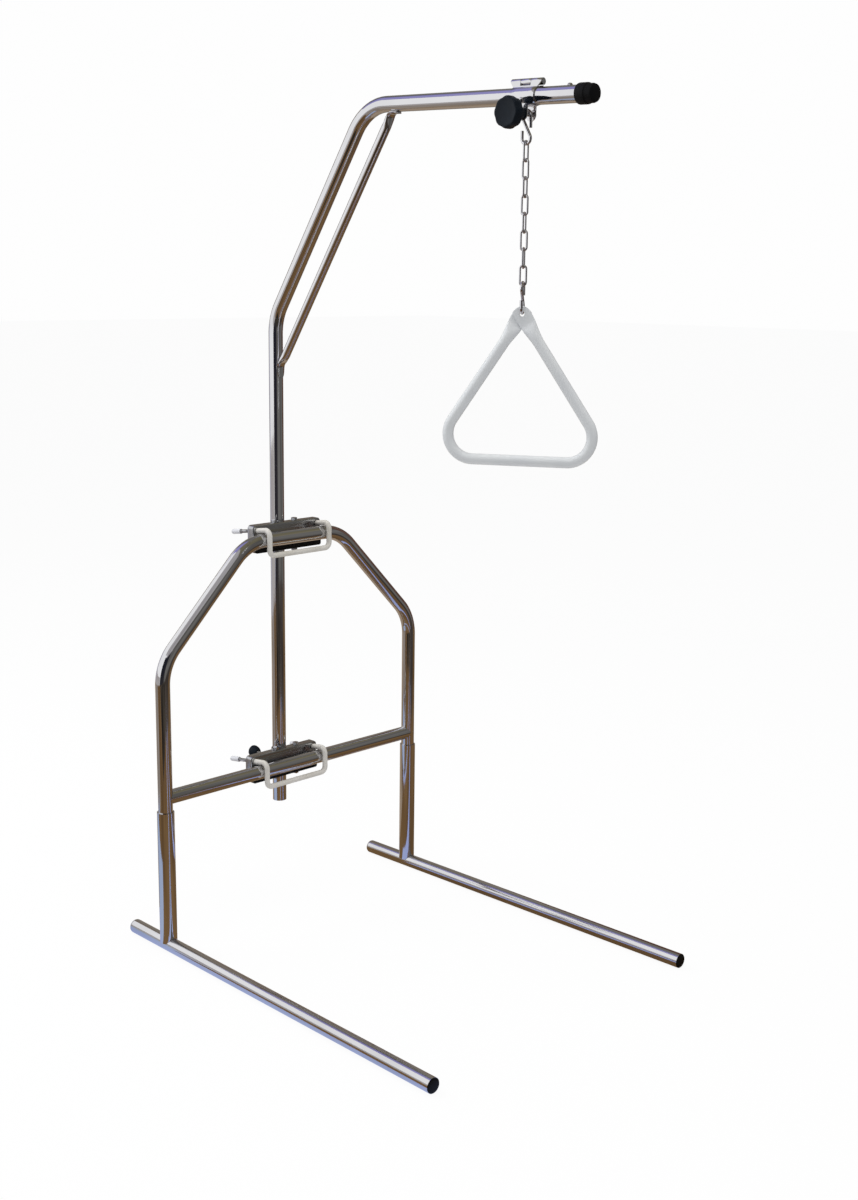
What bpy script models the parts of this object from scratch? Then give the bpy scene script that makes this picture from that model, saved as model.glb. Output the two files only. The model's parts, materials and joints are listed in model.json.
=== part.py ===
"""Free-standing bed trapeze: a chromed tube floor frame, an arch that carries a sliding mast
with a bent boom, and a white triangular handle hanging on a chain from a boom clamp.

Metres. X points forward along the boom, Y to the far side, Z up. The floor is z = 0 and
the origin lies on it, under the middle of the bounding box.
"""
import math

import bpy
import bmesh
from mathutils import Matrix, Vector

# Gap kept between solids that touch on the real object
SEAT = 0.0003
# Running clearance of a turning or sliding piece
RUNNING = 0.0004

# Floor frame
LEG_DIAMETER = 0.032
LEG_WALL = 0.0018
LEG_SPACING = 0.740
LEG_FORWARD = 0.845
LEG_BACKWARD = 0.128
LEG_TOE_OUT = math.radians(1.0)
LEG_SIDES = 24
PLUG_RIM = 0.0025
PLUG_SPIGOT = 0.022
CAP_DOME = 0.009
SOCKET_DIAMETER = 0.038
SOCKET_BORE_CLEARANCE = 0.0005
SOCKET_TOP = 0.325
SOCKET_OVERLAP = 0.010

# Head frame, an arch with a crossbar
ARCH_DIAMETER = 0.032
ARCH_WALL = 0.0018
ARCH_SHOULDER_Z = 0.655
ARCH_TOP_Z = 0.895
ARCH_TOP_HALF = 0.1342
ARCH_BEND_RADIUS = 0.112
CROSSBAR_DIAMETER = 0.032
CROSSBAR_WALL = 0.0018
CROSSBAR_Z = 0.356

# Pressed steel brackets that hold the mast to the arch top and to the crossbar
TRAY_WIDTH = 0.200
TRAY_HEIGHT = 0.063
TRAY_DEPTH = 0.0192
TRAY_SHEET = 0.003
TRAY_CORNER = 0.008
PAD_THICKNESS = 0.0054
PAD_ABOVE_TUBE = 0.008
UPPER_TRAY_SHIFT = 0.0
LOWER_TRAY_SHIFT = -0.014

# Coated U-bolts with wing nuts and soft tips
UBOLT_FROM_TRAY_END = 0.012
UBOLT_COATED = 0.012
UBOLT_THREAD = 0.008
UBOLT_BELOW_TUBE = 0.032
UBOLT_ABOVE_TUBE = 0.026
UBOLT_SLOPE = math.radians(8.0)
UBOLT_BEND = 0.013
TIP_DIAMETER = 0.0118
TIP_LENGTH = 0.031
TIP_WALL = 0.003
TIP_END = {"near": 0.134, "far": 0.127}
WING_HUB = 0.0155
WING_HUB_LENGTH = 0.022
WING_SPAN = 0.031
WING_THICKNESS = 0.003
WING_REACH = 0.0155
WING_TURN = {"near": math.radians(8.0), "far": math.radians(24.0)}

# Mast strap, its two upright bolts and the lock screw
STRAP_THICKNESS = 0.0025
STRAP_HEIGHT = 0.050
STRAP_BOLT = 0.008
STRAP_BOLT_Y = 0.030
STRAP_BOLT_BEHIND_WEB = 0.0085
HEX_ACROSS = 0.013
HEX_HEAD = 0.0053
HEX_NUT = 0.0065
BOLT_OVERRUN = 0.003
LOCK_SCREW = 0.008
LOCK_SCREW_LENGTH = 0.075
LOCK_BOSS = 0.016
LOCK_BOSS_LENGTH = 0.009
LOCK_BELOW_MIDDLE = 0.007
LOCK_KNOB_HEAD = 0.0286
LOCK_KNOB_NECK = 0.0185
LOCK_KNOB_HEAD_LENGTH = 0.013
LOCK_KNOB_LENGTH = 0.022
LOCK_KNOB_END = 0.086

# Mast, its two bends, and the boom
MAST_DIAMETER = 0.032
MAST_WALL = 0.0018
MAST_BOTTOM_Z = 0.2526
MAST_BEND_Z = 1.383
MAST_BEND_RADIUS = 0.112
BENT_LENGTH = 0.5303
BENT_ANGLE = math.radians(34.3)
BOOM_LENGTH = 0.5968
BOOM_DROOP = math.radians(1.67)
BRACE_DIAMETER = 0.0195
BRACE_SIDES = 16
BRACE_OFFSET = 0.0739
BRACE_BEND = 0.020
BRACE_FLARE = 0.034
BRACE_TONGUE_WIDTH = 0.024
BRACE_TIP_WIDTH = 0.010
BRACE_TONGUE_THICKNESS = 0.0036
BRACE_LOWER_TONGUE = 0.027
BRACE_UPPER_TONGUE = 0.023
BOOM_CAP_DIAMETER = 0.0385
BOOM_CAP_NOSE = 0.0347
BOOM_CAP_LENGTH = 0.038
BOOM_CAP_BARREL = 0.0215
BOOM_CAP_END_WALL = 0.005
STOP_HEAD = 0.010
STOP_SHANK = 0.005
STOP_BEFORE_CAP = 0.0243

# Boom clamp: two hinged half shells, a threaded knob and a nut
CLAMP_POSITION = 0.4385
CLAMP_SHEET = 0.002
CLAMP_LENGTH = 0.059
CLAMP_SPINE_LENGTH = 0.075
CLAMP_SPINE_DIAMETER = 0.0135
CLAMP_EAR_HALF_GAP = 0.011
CLAMP_EAR_LENGTH = 0.024
CLAMP_STUD = 0.008
CLAMP_STUD_DROP = 0.0317
CLAMP_EAR_BELOW_STUD = 0.0125
CLAMP_ROLL_ANGLE = math.radians(245)
CLAMP_ROLL_STEPS = 10
KNOB_DIAMETER = 0.0590
KNOB_FLUTES = 8
KNOB_FLUTE_DEPTH = 0.0016
KNOB_DISC = 0.021
KNOB_HUB = 0.030
KNOB_LENGTH = 0.047
RIVET_HEAD = 0.0095

# Hanging chain
HOOK_WIRE = 0.006
HOOK_LOOP_RADIUS = 0.0103
HOOK_LENGTH = {"upper": 0.0663, "lower": 0.0630}
HOOK_TAIL = {"upper": 0.0215, "lower": 0.0137}
HOOK_LOWER_TAIL = 0.0137
LINK_COUNT = 8
LINK_WIRE = 0.004
LINK_LENGTH = 0.0408
LINK_WIDTH = 0.016
CHAIN_TWIST = math.radians(30.0)

# Triangular handle, a bent tube whose flattened ends make the hanging eye
HANDLE_TUBE = 0.0215
HANDLE_DROP = 0.2829
HANDLE_SIDE_ANGLE = math.radians(33.6)
HANDLE_APEX_DROP = 0.0046
HANDLE_CORNER_RADIUS = 0.049
HANDLE_EYE_THICKNESS = 0.0056
HANDLE_EYE_TIP_RADIUS = 0.018
HANDLE_EYE_TIP_RISE = 0.0142
HANDLE_EYE_HOLE = 0.0104
HANDLE_EYE_SIDE_ANGLE = math.radians(28.0)
HANDLE_FLAT_WIDTH = 0.032

SIDES = {"near": -1, "far": 1}


def radius(diameter):
    """Half of a diameter."""
    return diameter / 2


# Places that follow from the sizes above
LEG_APOTHEM = radius(LEG_DIAMETER) * math.cos(math.pi / LEG_SIDES)
LEG_AXIS_Z = LEG_APOTHEM
SOCKET_BORE = ARCH_DIAMETER + 2 * SOCKET_BORE_CLEARANCE
WEB_FRONT = -(radius(ARCH_DIAMETER) + SEAT + PAD_THICKNESS + SEAT)
WEB_BACK = WEB_FRONT - TRAY_SHEET
TRAY_RIM = WEB_FRONT - TRAY_DEPTH
MAST_X = TRAY_RIM - SEAT - radius(MAST_DIAMETER)
MAST_BACK = MAST_X - radius(MAST_DIAMETER)
STRAP_BOLT_X = WEB_BACK - STRAP_BOLT_BEHIND_WEB
STRAP_BACK = MAST_BACK - SEAT - STRAP_THICKNESS
UBOLT_FRONT = radius(ARCH_DIAMETER) + SEAT + radius(UBOLT_COATED)
UBOLT_HALF_SPAN = TRAY_WIDTH / 2 - UBOLT_FROM_TRAY_END
BEND_START = Vector((MAST_X, 0, MAST_BEND_Z))
BENT_DIRECTION = Vector((math.sin(BENT_ANGLE), 0, math.cos(BENT_ANGLE)))
BOOM_START = BEND_START + BENT_LENGTH * BENT_DIRECTION
BOOM_DIRECTION = Vector((math.cos(BOOM_DROOP), 0, -math.sin(BOOM_DROOP)))
BOOM_UP = Vector((math.sin(BOOM_DROOP), 0, math.cos(BOOM_DROOP)))
CAP_START = BOOM_LENGTH + SEAT + BOOM_CAP_END_WALL - BOOM_CAP_LENGTH
STUD_CENTRE = BOOM_START + CLAMP_POSITION * BOOM_DIRECTION - CLAMP_STUD_DROP * BOOM_UP
FRONT_X = (BOOM_START + (CAP_START + BOOM_CAP_LENGTH) * BOOM_DIRECTION
           + radius(BOOM_CAP_NOSE) * 0.6 * BOOM_UP).x
REAR_X = MAST_BACK - LOCK_KNOB_END
ORIGIN_SHIFT = -(FRONT_X + REAR_X) / 2


# Scene and materials


def clear_scene():
    """Start from an empty scene."""
    for item in list(bpy.data.objects):
        bpy.data.objects.remove(item, do_unlink=True)


def make_collection(name):
    """Return a new collection linked to the scene."""
    collection = bpy.data.collections.new(name)
    bpy.context.scene.collection.children.link(collection)
    return collection


def make_material(name, colour, roughness, metallic):
    """Return a plain Principled material."""
    material = bpy.data.materials.new(name)
    material.use_nodes = True
    shader = material.node_tree.nodes["Principled BSDF"]
    shader.inputs["Base Color"].default_value = (*colour, 1.0)
    shader.inputs["Roughness"].default_value = roughness
    shader.inputs["Metallic"].default_value = metallic
    return material


clear_scene()
PARTS = make_collection("bed_trapeze")
CUTTERS = make_collection("cutters")
CHROME = make_material("chrome", (0.55, 0.55, 0.57), 0.08, 1.0)
ZINC = make_material("zinc_plated_steel", (0.45, 0.46, 0.48), 0.25, 1.0)
WHITE_COAT = make_material("white_coating", (0.80, 0.80, 0.78), 0.30, 0.0)
GREY_WHITE = make_material("handle_enamel", (0.70, 0.72, 0.74), 0.25, 0.0)
RUBBER = make_material("black_rubber", (0.012, 0.012, 0.013), 0.60, 0.0)
BLACK_PLASTIC = make_material("black_plastic", (0.014, 0.016, 0.020), 0.35, 0.0)


# Helpers for objects


def make_empty(name, parent=None, matrix=None):
    """Return an empty that carries pieces, placed under its parent."""
    empty = bpy.data.objects.new(name, None)
    PARTS.objects.link(empty)
    empty.parent = parent
    if matrix is not None:
        empty.matrix_local = matrix
    return empty


def link_object(name, data, parent, matrix=None, material=None):
    """Link a new object for mesh or curve data in the parts collection."""
    item = bpy.data.objects.new(name, data)
    PARTS.objects.link(item)
    item.parent = parent
    if matrix is not None:
        item.matrix_local = matrix
    if material is not None:
        data.materials.append(material)
    return item


def smooth(item, degrees=35):
    """Shade a mesh object smooth with sharp edges kept."""
    item.data.shade_smooth()
    item.data.set_sharp_from_angle(angle=math.radians(degrees))
    return item


def along(direction, origin=(0, 0, 0), up="Y"):
    """Matrix that turns local +Z to a direction and moves to an origin."""
    turn = Vector(direction).to_track_quat("Z", up).to_matrix().to_4x4()
    return Matrix.Translation(Vector(origin)) @ turn


def mesh_from(bm, name):
    """Turn a bmesh into mesh data with outward normals."""
    bmesh.ops.recalc_face_normals(bm, faces=bm.faces)
    mesh = bpy.data.meshes.new(name)
    bm.to_mesh(mesh)
    bm.free()
    return mesh


def make_mesh_object(name, bm, parent, matrix=None, material=None):
    """Link a bmesh as a smooth-shaded object."""
    return smooth(link_object(name, mesh_from(bm, name), parent, matrix, material))


def bake(item):
    """Replace an object by the welded mesh that its curve and modifiers give."""
    bpy.context.view_layer.update()
    graph = bpy.context.evaluated_depsgraph_get()
    mesh = bpy.data.meshes.new_from_object(item.evaluated_get(graph))
    bm = bmesh.new()
    bm.from_mesh(mesh)
    bmesh.ops.remove_doubles(bm, verts=bm.verts, dist=1e-6)
    bmesh.ops.recalc_face_normals(bm, faces=bm.faces)
    bm.to_mesh(mesh)
    bm.free()
    name = item.name
    parent = item.parent
    matrix = item.matrix_local.copy()
    bpy.data.objects.remove(item, do_unlink=True)
    mesh.name = name
    solid = link_object(name, mesh, parent, matrix)
    return smooth(solid)


def as_cutter(item):
    """Move an object to the cutters collection, as a hidden guide."""
    PARTS.objects.unlink(item)
    CUTTERS.objects.link(item)
    item.hide_render = True
    item.display_type = "WIRE"
    return item


def boolean(item, tool, operation="DIFFERENCE"):
    """Add an exact Boolean modifier."""
    step = item.modifiers.new(tool.name, "BOOLEAN")
    step.operation = operation
    step.solver = "EXACT"
    step.object = tool
    return item


# Helpers for shapes


def cylinder_bmesh(diameter, length, sides, flat_side=False, centred=False):
    """Closed cylinder along +Z from z = 0, or centred on it."""
    bm = bmesh.new()
    bmesh.ops.create_cone(bm, cap_ends=True, segments=sides, radius1=radius(diameter),
                          radius2=radius(diameter), depth=length)
    if flat_side:
        bmesh.ops.rotate(bm, verts=bm.verts, matrix=Matrix.Rotation(math.pi / sides, 3, "Z"))
    if not centred:
        bmesh.ops.translate(bm, verts=bm.verts, vec=(0, 0, length / 2))
    return bm


def make_cutter_cylinder(name, diameter, length, parent, matrix, sides=32):
    """Cylinder around +Z, centred, whose flats lie outside the stated diameter."""
    outer = diameter / math.cos(math.pi / sides)
    bm = cylinder_bmesh(outer, length, sides, centred=True)
    return as_cutter(link_object(name, mesh_from(bm, name), parent, matrix))


def make_cutter_box(name, size, parent, matrix):
    """Box centred on its own origin."""
    bm = bmesh.new()
    bmesh.ops.create_cube(bm, size=1.0)
    bmesh.ops.scale(bm, vec=size, verts=bm.verts)
    return as_cutter(link_object(name, mesh_from(bm, name), parent, matrix))


def straight_tube(name, diameter, wall, length, sides, parent, matrix, material):
    """Open-ended straight tube along +Z from z = 0, with one flat turned down for +X."""
    bm = cylinder_bmesh(diameter, length, sides, flat_side=True)
    ends = [face for face in bm.faces if abs(face.normal.z) > 0.9]
    bmesh.ops.delete(bm, geom=ends, context="FACES_ONLY")
    item = make_mesh_object(name, bm, parent, matrix, material)
    thicken(item, wall)
    return item


def thicken(item, wall, offset=-1.0):
    """Give an open surface its wall, inward by default."""
    shell = item.modifiers.new("wall", "SOLIDIFY")
    shell.thickness = wall
    shell.offset = offset
    shell.use_even_offset = True
    return item


def turned(name, profile, sides, parent, matrix, material, closed=False):
    """Turned solid around +Z. The profile is (radius, height), outer side top to bottom."""
    mesh = bpy.data.meshes.new(name)
    points = [(r, 0, z) for r, z in profile]
    edges = [(i, i + 1) for i in range(len(points) - 1)]
    if closed:
        edges.append((len(points) - 1, 0))
    mesh.from_pydata(points, edges, [])
    item = link_object(name, mesh, parent, matrix, material)
    screw = item.modifiers.new("turn", "SCREW")
    screw.steps = sides
    screw.render_steps = sides
    screw.use_merge_vertices = True
    screw.merge_threshold = 1e-5
    screw.use_smooth_shade = True
    return item


def arc(centre, start, end, steps, size):
    """Points on an arc in the local plane, angles in radians, both ends included."""
    points = []
    for i in range(steps + 1):
        angle = start + (end - start) * i / steps
        points.append((centre[0] + size * math.cos(angle), centre[1] + size * math.sin(angle)))
    return points


def rounded_path(corners, bend_radius, steps):
    """Polyline through corners with each inner corner replaced by a tangent arc."""
    points = [Vector(corners[0])]
    for before, corner, after in zip(corners, corners[1:], corners[2:]):
        corner = Vector(corner)
        inward = (corner - Vector(before)).normalized()
        outward = (Vector(after) - corner).normalized()
        turn = inward.angle(outward)
        reach = bend_radius * math.tan(turn / 2)
        bisector = (outward - inward).normalized()
        centre = corner + bisector * (bend_radius / math.cos(turn / 2))
        axis = inward.cross(outward).normalized()
        spoke = corner - inward * reach - centre
        for i in range(steps + 1):
            points.append(centre + Matrix.Rotation(turn * i / steps, 3, axis) @ spoke)
    points.append(Vector(corners[-1]))
    return points


def wire(name, points, diameter, parent, matrix, material, resolution=2, cyclic=False,
         capped=True, scales=None):
    """Round bar or tube surface swept along a polyline."""
    curve = bpy.data.curves.new(name, "CURVE")
    curve.dimensions = "3D"
    curve.bevel_depth = radius(diameter)
    curve.bevel_resolution = resolution
    curve.use_fill_caps = capped and not cyclic
    spline = curve.splines.new("POLY")
    spline.points.add(len(points) - 1)
    for i, (knot, point) in enumerate(zip(spline.points, points)):
        knot.co = (*point, 1.0)
        knot.radius = scales[i] if scales else 1.0
    spline.use_cyclic_u = cyclic
    spline.use_smooth = True
    return link_object(name, curve, parent, matrix, material)


def bent_tube(name, points, diameter, wall, parent, material, resolution=6):
    """Hollow tube along a polyline, open at both ends."""
    item = wire(name, points, diameter, parent, None, material, resolution, capped=False)
    item = bake(item)
    thicken(item, wall)
    return item


def plate(name, outline, thickness, parent, matrix, material, bevel=0.0):
    """Flat piece from a closed outline in local XY, centred on z = 0."""
    curve = bpy.data.curves.new(name, "CURVE")
    curve.dimensions = "2D"
    curve.fill_mode = "BOTH"
    curve.extrude = thickness / 2
    spline = curve.splines.new("POLY")
    spline.points.add(len(outline) - 1)
    for knot, (x, y) in zip(spline.points, outline):
        knot.co = (x, y, 0.0, 1.0)
    spline.use_cyclic_u = True
    item = bake(link_object(name, curve, parent, matrix, material))
    if bevel:
        edge = item.modifiers.new("edge", "BEVEL")
        edge.width = bevel
        edge.segments = 2
        edge.limit_method = "ANGLE"
        edge.angle_limit = math.radians(50)
    return item


def loft(name, stations, sides, parent, matrix, material):
    """Solid through unlike rounded sections.

    Each station is (centre, across, through, half width, half thickness, squareness);
    squareness 1 is an ellipse and larger values flatten it.
    """
    bm = bmesh.new()
    rings = []
    for centre, across, through, half_width, half_thickness, squareness in stations:
        ring = []
        for i in range(sides):
            angle = 2 * math.pi * (i + 0.5) / sides
            c, s = math.cos(angle), math.sin(angle)
            u = math.copysign(abs(c) ** (1 / squareness), c) * half_width
            v = math.copysign(abs(s) ** (1 / squareness), s) * half_thickness
            ring.append(bm.verts.new(Vector(centre) + u * Vector(across) + v * Vector(through)))
        rings.append(ring)
    for low, high in zip(rings, rings[1:]):
        for i in range(sides):
            j = (i + 1) % sides
            bm.faces.new((low[i], low[j], high[j], high[i]))
    bm.faces.new(rings[0])
    bm.faces.new(rings[-1])
    return make_mesh_object(name, bm, parent, matrix, material)


def sheet(name, rows, thickness, parent, matrix, material):
    """Bent sheet. Each row is (first point, last point) across the sheet."""
    bm = bmesh.new()
    pairs = [(bm.verts.new(first), bm.verts.new(last)) for first, last in rows]
    for (a, b), (c, d) in zip(pairs, pairs[1:]):
        bm.faces.new((a, b, d, c))
    item = make_mesh_object(name, bm, parent, matrix, material)
    thicken(item, thickness, offset=0.0)
    return item


def hex_piece(name, height, parent, matrix, material=None):
    """Hexagon head or nut along +Z from z = 0."""
    across_corners = HEX_ACROSS / math.cos(math.pi / 6)
    return make_mesh_object(name, cylinder_bmesh(across_corners, height, 6), parent, matrix, material)


# Floor frame


def build_leg(side, root):
    """One floor tube with its front plug and rear cap, toed out about its socket."""
    sign = SIDES[side]
    place = Matrix.Translation((0, sign * LEG_SPACING / 2, LEG_AXIS_Z))
    carrier = make_empty(f"leg_axis_{side}", root, place @ Matrix.Rotation(sign * LEG_TOE_OUT, 4, "Z"))
    length = LEG_FORWARD + LEG_BACKWARD
    forward = along((1, 0, 0), (-LEG_BACKWARD, 0, 0))
    straight_tube(f"floor_leg_{side}", LEG_DIAMETER, LEG_WALL, length, LEG_SIDES, carrier, forward, CHROME)
    bore = radius(LEG_DIAMETER) * math.cos(math.pi / LEG_SIDES) - LEG_WALL - SEAT
    rim = LEG_APOTHEM
    plug = [(0, PLUG_RIM), (rim - 0.002, PLUG_RIM), (rim - 0.0006, PLUG_RIM - 0.0008), (rim - 0.0002, 0),
            (bore, 0), (bore, -PLUG_SPIGOT + 0.002), (bore - 0.0015, -PLUG_SPIGOT), (0, -PLUG_SPIGOT)]
    turned(f"leg_plug_{side}", plug, 16, carrier, along((1, 0, 0), (LEG_FORWARD + SEAT, 0, 0)), RUBBER)
    dome = [(rim * math.sin(a), CAP_DOME * math.cos(a)) for a in (0.0, 0.45, 0.9, 1.25, math.pi / 2)]
    cap = dome + [(bore, 0), (bore, -PLUG_SPIGOT + 0.002), (bore - 0.0015, -PLUG_SPIGOT), (0, -PLUG_SPIGOT)]
    turned(f"leg_cap_{side}", cap, 16, carrier, along((-1, 0, 0), (-LEG_BACKWARD - SEAT, 0, 0)), CHROME)
    return carrier


def build_socket(side, leg, root):
    """Upright socket tube, notched to sit over its leg."""
    sign = SIDES[side]
    bottom = LEG_AXIS_Z + radius(LEG_DIAMETER) - SOCKET_OVERLAP
    wall = radius(SOCKET_DIAMETER) - radius(SOCKET_BORE)
    place = Matrix.Translation((0, sign * LEG_SPACING / 2, bottom))
    item = straight_tube(f"leg_socket_{side}", SOCKET_DIAMETER, wall, SOCKET_TOP - bottom, 24,
                         root, place, CHROME)
    notch = make_cutter_cylinder(f"leg_notch_{side}", LEG_DIAMETER + 2 * SEAT, 0.2, leg, along((1, 0, 0)))
    return boolean(item, notch)


def build_head_frame(root):
    """Arch and crossbar."""
    foot = 2 * LEG_APOTHEM + SEAT
    half = LEG_SPACING / 2
    corners = [(0, -half, foot), (0, -half, ARCH_SHOULDER_Z), (0, -ARCH_TOP_HALF, ARCH_TOP_Z),
               (0, ARCH_TOP_HALF, ARCH_TOP_Z), (0, half, ARCH_SHOULDER_Z), (0, half, foot)]
    points = rounded_path(corners, ARCH_BEND_RADIUS, 5)
    bent_tube("arch_frame", points, ARCH_DIAMETER, ARCH_WALL, root, CHROME)
    place = along((0, 1, 0), (0, -half, CROSSBAR_Z))
    bar = straight_tube("crossbar", CROSSBAR_DIAMETER, CROSSBAR_WALL, LEG_SPACING, 24, root, place, CHROME)
    for side, sign in SIDES.items():
        place = Matrix.Translation((0, sign * half, CROSSBAR_Z))
        boolean(bar, make_cutter_cylinder(f"cope_{side}", ARCH_DIAMETER + 2 * SEAT, 0.1, root, place))


# Brackets


def build_tray(name, carrier, shift):
    """Pressed tray with its open side towards the mast, and its holes."""
    bm = bmesh.new()
    bmesh.ops.create_cube(bm, size=1.0)
    bmesh.ops.scale(bm, vec=(TRAY_DEPTH, TRAY_WIDTH, TRAY_HEIGHT), verts=bm.verts)
    bmesh.ops.translate(bm, verts=bm.verts, vec=(WEB_FRONT - TRAY_DEPTH / 2, shift, 0))
    bmesh.ops.delete(bm, geom=[f for f in bm.faces if f.normal.x < -0.9], context="FACES_ONLY")
    corners = [e for e in bm.edges if abs(e.verts[0].co.x - e.verts[1].co.x) > TRAY_DEPTH / 2]
    bmesh.ops.bevel(bm, geom=corners, offset=TRAY_CORNER, segments=3, profile=0.5, affect="EDGES")
    front = [e for e in bm.edges if all(v.co.x > WEB_FRONT - 1e-5 for v in e.verts) and len(e.link_faces) == 2]
    bmesh.ops.bevel(bm, geom=front, offset=TRAY_SHEET, segments=2, profile=0.5, affect="EDGES")
    tray = make_mesh_object(f"{name}_bracket", bm, carrier, None, ZINC)
    thicken(tray, TRAY_SHEET)
    for side, sign in SIDES.items():
        hole = make_cutter_cylinder(f"{name}_bolt_hole_{side}", STRAP_BOLT + 2 * RUNNING, 2 * TRAY_HEIGHT,
                                    carrier, Matrix.Translation((STRAP_BOLT_X, sign * STRAP_BOLT_Y, 0)), 16)
        boolean(tray, hole)
    return tray


def build_pad(name, carrier, shift):
    """Rubber strip between the frame tube and the tray."""
    low = -TRAY_HEIGHT / 2
    height = PAD_ABOVE_TUBE - low
    width = TRAY_WIDTH - 2 * TRAY_SHEET
    corner = TRAY_CORNER - TRAY_SHEET
    outline = arc((width / 2 - corner, low + corner), -math.pi / 2, 0, 3, corner)
    outline += [(width / 2, low + height), (-width / 2, low + height)]
    outline += arc((-width / 2 + corner, low + corner), math.pi, 1.5 * math.pi, 3, corner)
    face = Matrix(((0, 0, 1, 0), (1, 0, 0, 0), (0, 1, 0, 0), (0, 0, 0, 1)))
    place = Matrix.Translation((WEB_FRONT + SEAT + PAD_THICKNESS / 2, shift, 0)) @ face
    return plate(f"{name}_pad", outline, PAD_THICKNESS, carrier, place, RUBBER)


def rod_place(sign_y, distance):
    """Point on a U-bolt's sloped limb, at a distance back from its top corner."""
    back = Vector((-math.cos(UBOLT_SLOPE), 0, -math.sin(UBOLT_SLOPE)))
    return Vector((UBOLT_FRONT, sign_y, UBOLT_ABOVE_TUBE)) + distance * back


def build_ubolt(name, carrier, shift, tray):
    """Coated U-bolt round the frame tube, its wing nuts and its soft tips."""
    web = (UBOLT_FRONT - WEB_FRONT) / math.cos(UBOLT_SLOPE)
    shoulder = web - radius(UBOLT_COATED) * math.tan(UBOLT_SLOPE) - SEAT
    limb = {}
    for side, sign in SIDES.items():
        y = shift + sign * UBOLT_HALF_SPAN
        thread_end = TIP_END[side] - TIP_WALL - SEAT
        corner = rod_place(y, 0)
        limb[side] = [rod_place(y, thread_end), rod_place(y, shoulder), corner,
                      Vector((UBOLT_FRONT, y, -UBOLT_BELOW_TUBE))]
    corners = limb["near"][1:] + limb["far"][:0:-1]
    path = rounded_path(corners, UBOLT_BEND, 4)
    step = (limb["near"][0] - limb["near"][1]).normalized() * 0.0002
    points = [limb["near"][0], path[0] + step] + path + [path[-1] + step, limb["far"][0]]
    thin = UBOLT_THREAD / UBOLT_COATED
    scales = [thin, thin] + [1.0] * len(path) + [thin, thin]
    wire(f"{name}_u_bolt", points, UBOLT_COATED, carrier, None, WHITE_COAT, 3, scales=scales)
    for side, sign in SIDES.items():
        y = shift + sign * UBOLT_HALF_SPAN
        back = (rod_place(y, 1) - rod_place(y, 0)).normalized()
        hole = make_cutter_cylinder(f"{name}_u_hole_{side}", UBOLT_THREAD + 2 * RUNNING, 0.03, carrier,
                                    along(back, rod_place(y, web)), 16)
        boolean(tray, hole)
        seat = (UBOLT_FRONT - WEB_BACK) / math.cos(UBOLT_SLOPE) + radius(WING_HUB) * math.tan(UBOLT_SLOPE) + SEAT
        build_wing_nut(f"{name}_wing_nut_{side}", carrier, along(back, rod_place(y, seat)), side)
        outer = radius(TIP_DIAMETER)
        bore = radius(UBOLT_THREAD) + SEAT
        tip = [(0, 0), (outer - 0.003, 0), (outer - 0.0009, -0.001), (outer, -0.003), (outer, -TIP_LENGTH),
               (bore, -TIP_LENGTH), (bore, -TIP_WALL), (0, -TIP_WALL)]
        turned(f"{name}_thread_tip_{side}", tip, 12, carrier, along(back, rod_place(y, TIP_END[side])), WHITE_COAT)


def build_wing_nut(name, carrier, place, side):
    """Wing nut with a conical hub and two swept wings, turned to where it was left."""
    axis = make_empty(f"{name}_axis", carrier, place @ Matrix.Rotation(WING_TURN[side], 4, "Z"))
    base = radius(WING_HUB)
    neck = base * 0.72
    bore = radius(UBOLT_THREAD) + RUNNING
    profile = [(bore, WING_HUB_LENGTH), (neck, WING_HUB_LENGTH), (neck, WING_HUB_LENGTH * 0.45),
               (base, 0.004), (base, 0), (bore, 0)]
    nut = bake(turned(name, profile, 16, axis, None, ZINC, closed=True))
    span = radius(WING_SPAN)
    clear = ((WEB_BACK - TRAY_RIM) / math.cos(UBOLT_SLOPE)
             + (span - base) * math.tan(UBOLT_SLOPE) + RUNNING)
    tip = clear + WING_REACH
    middle = (bore + neck) / 2
    outline = [(middle, clear - 0.007), (neck + 0.001, clear - 0.003), (span * 0.6, clear), (span, clear + 0.010),
               (span, tip - 0.002), (span - 0.002, tip), (span - 0.005, tip - 0.001),
               (neck + 0.002, WING_HUB_LENGTH + 0.001), (middle, WING_HUB_LENGTH - 0.001)]
    upright = Matrix(((1, 0, 0, 0), (0, 0, -1, 0), (0, 1, 0, 0), (0, 0, 0, 1)))
    for number, sign in enumerate((1, -1)):
        flat = [(sign * x, z) for x, z in outline][::sign]
        wing = plate(f"{name}_wing_{number}", flat, WING_THICKNESS, axis, upright, None)
        boolean(nut, as_cutter(wing), "UNION")


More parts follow.
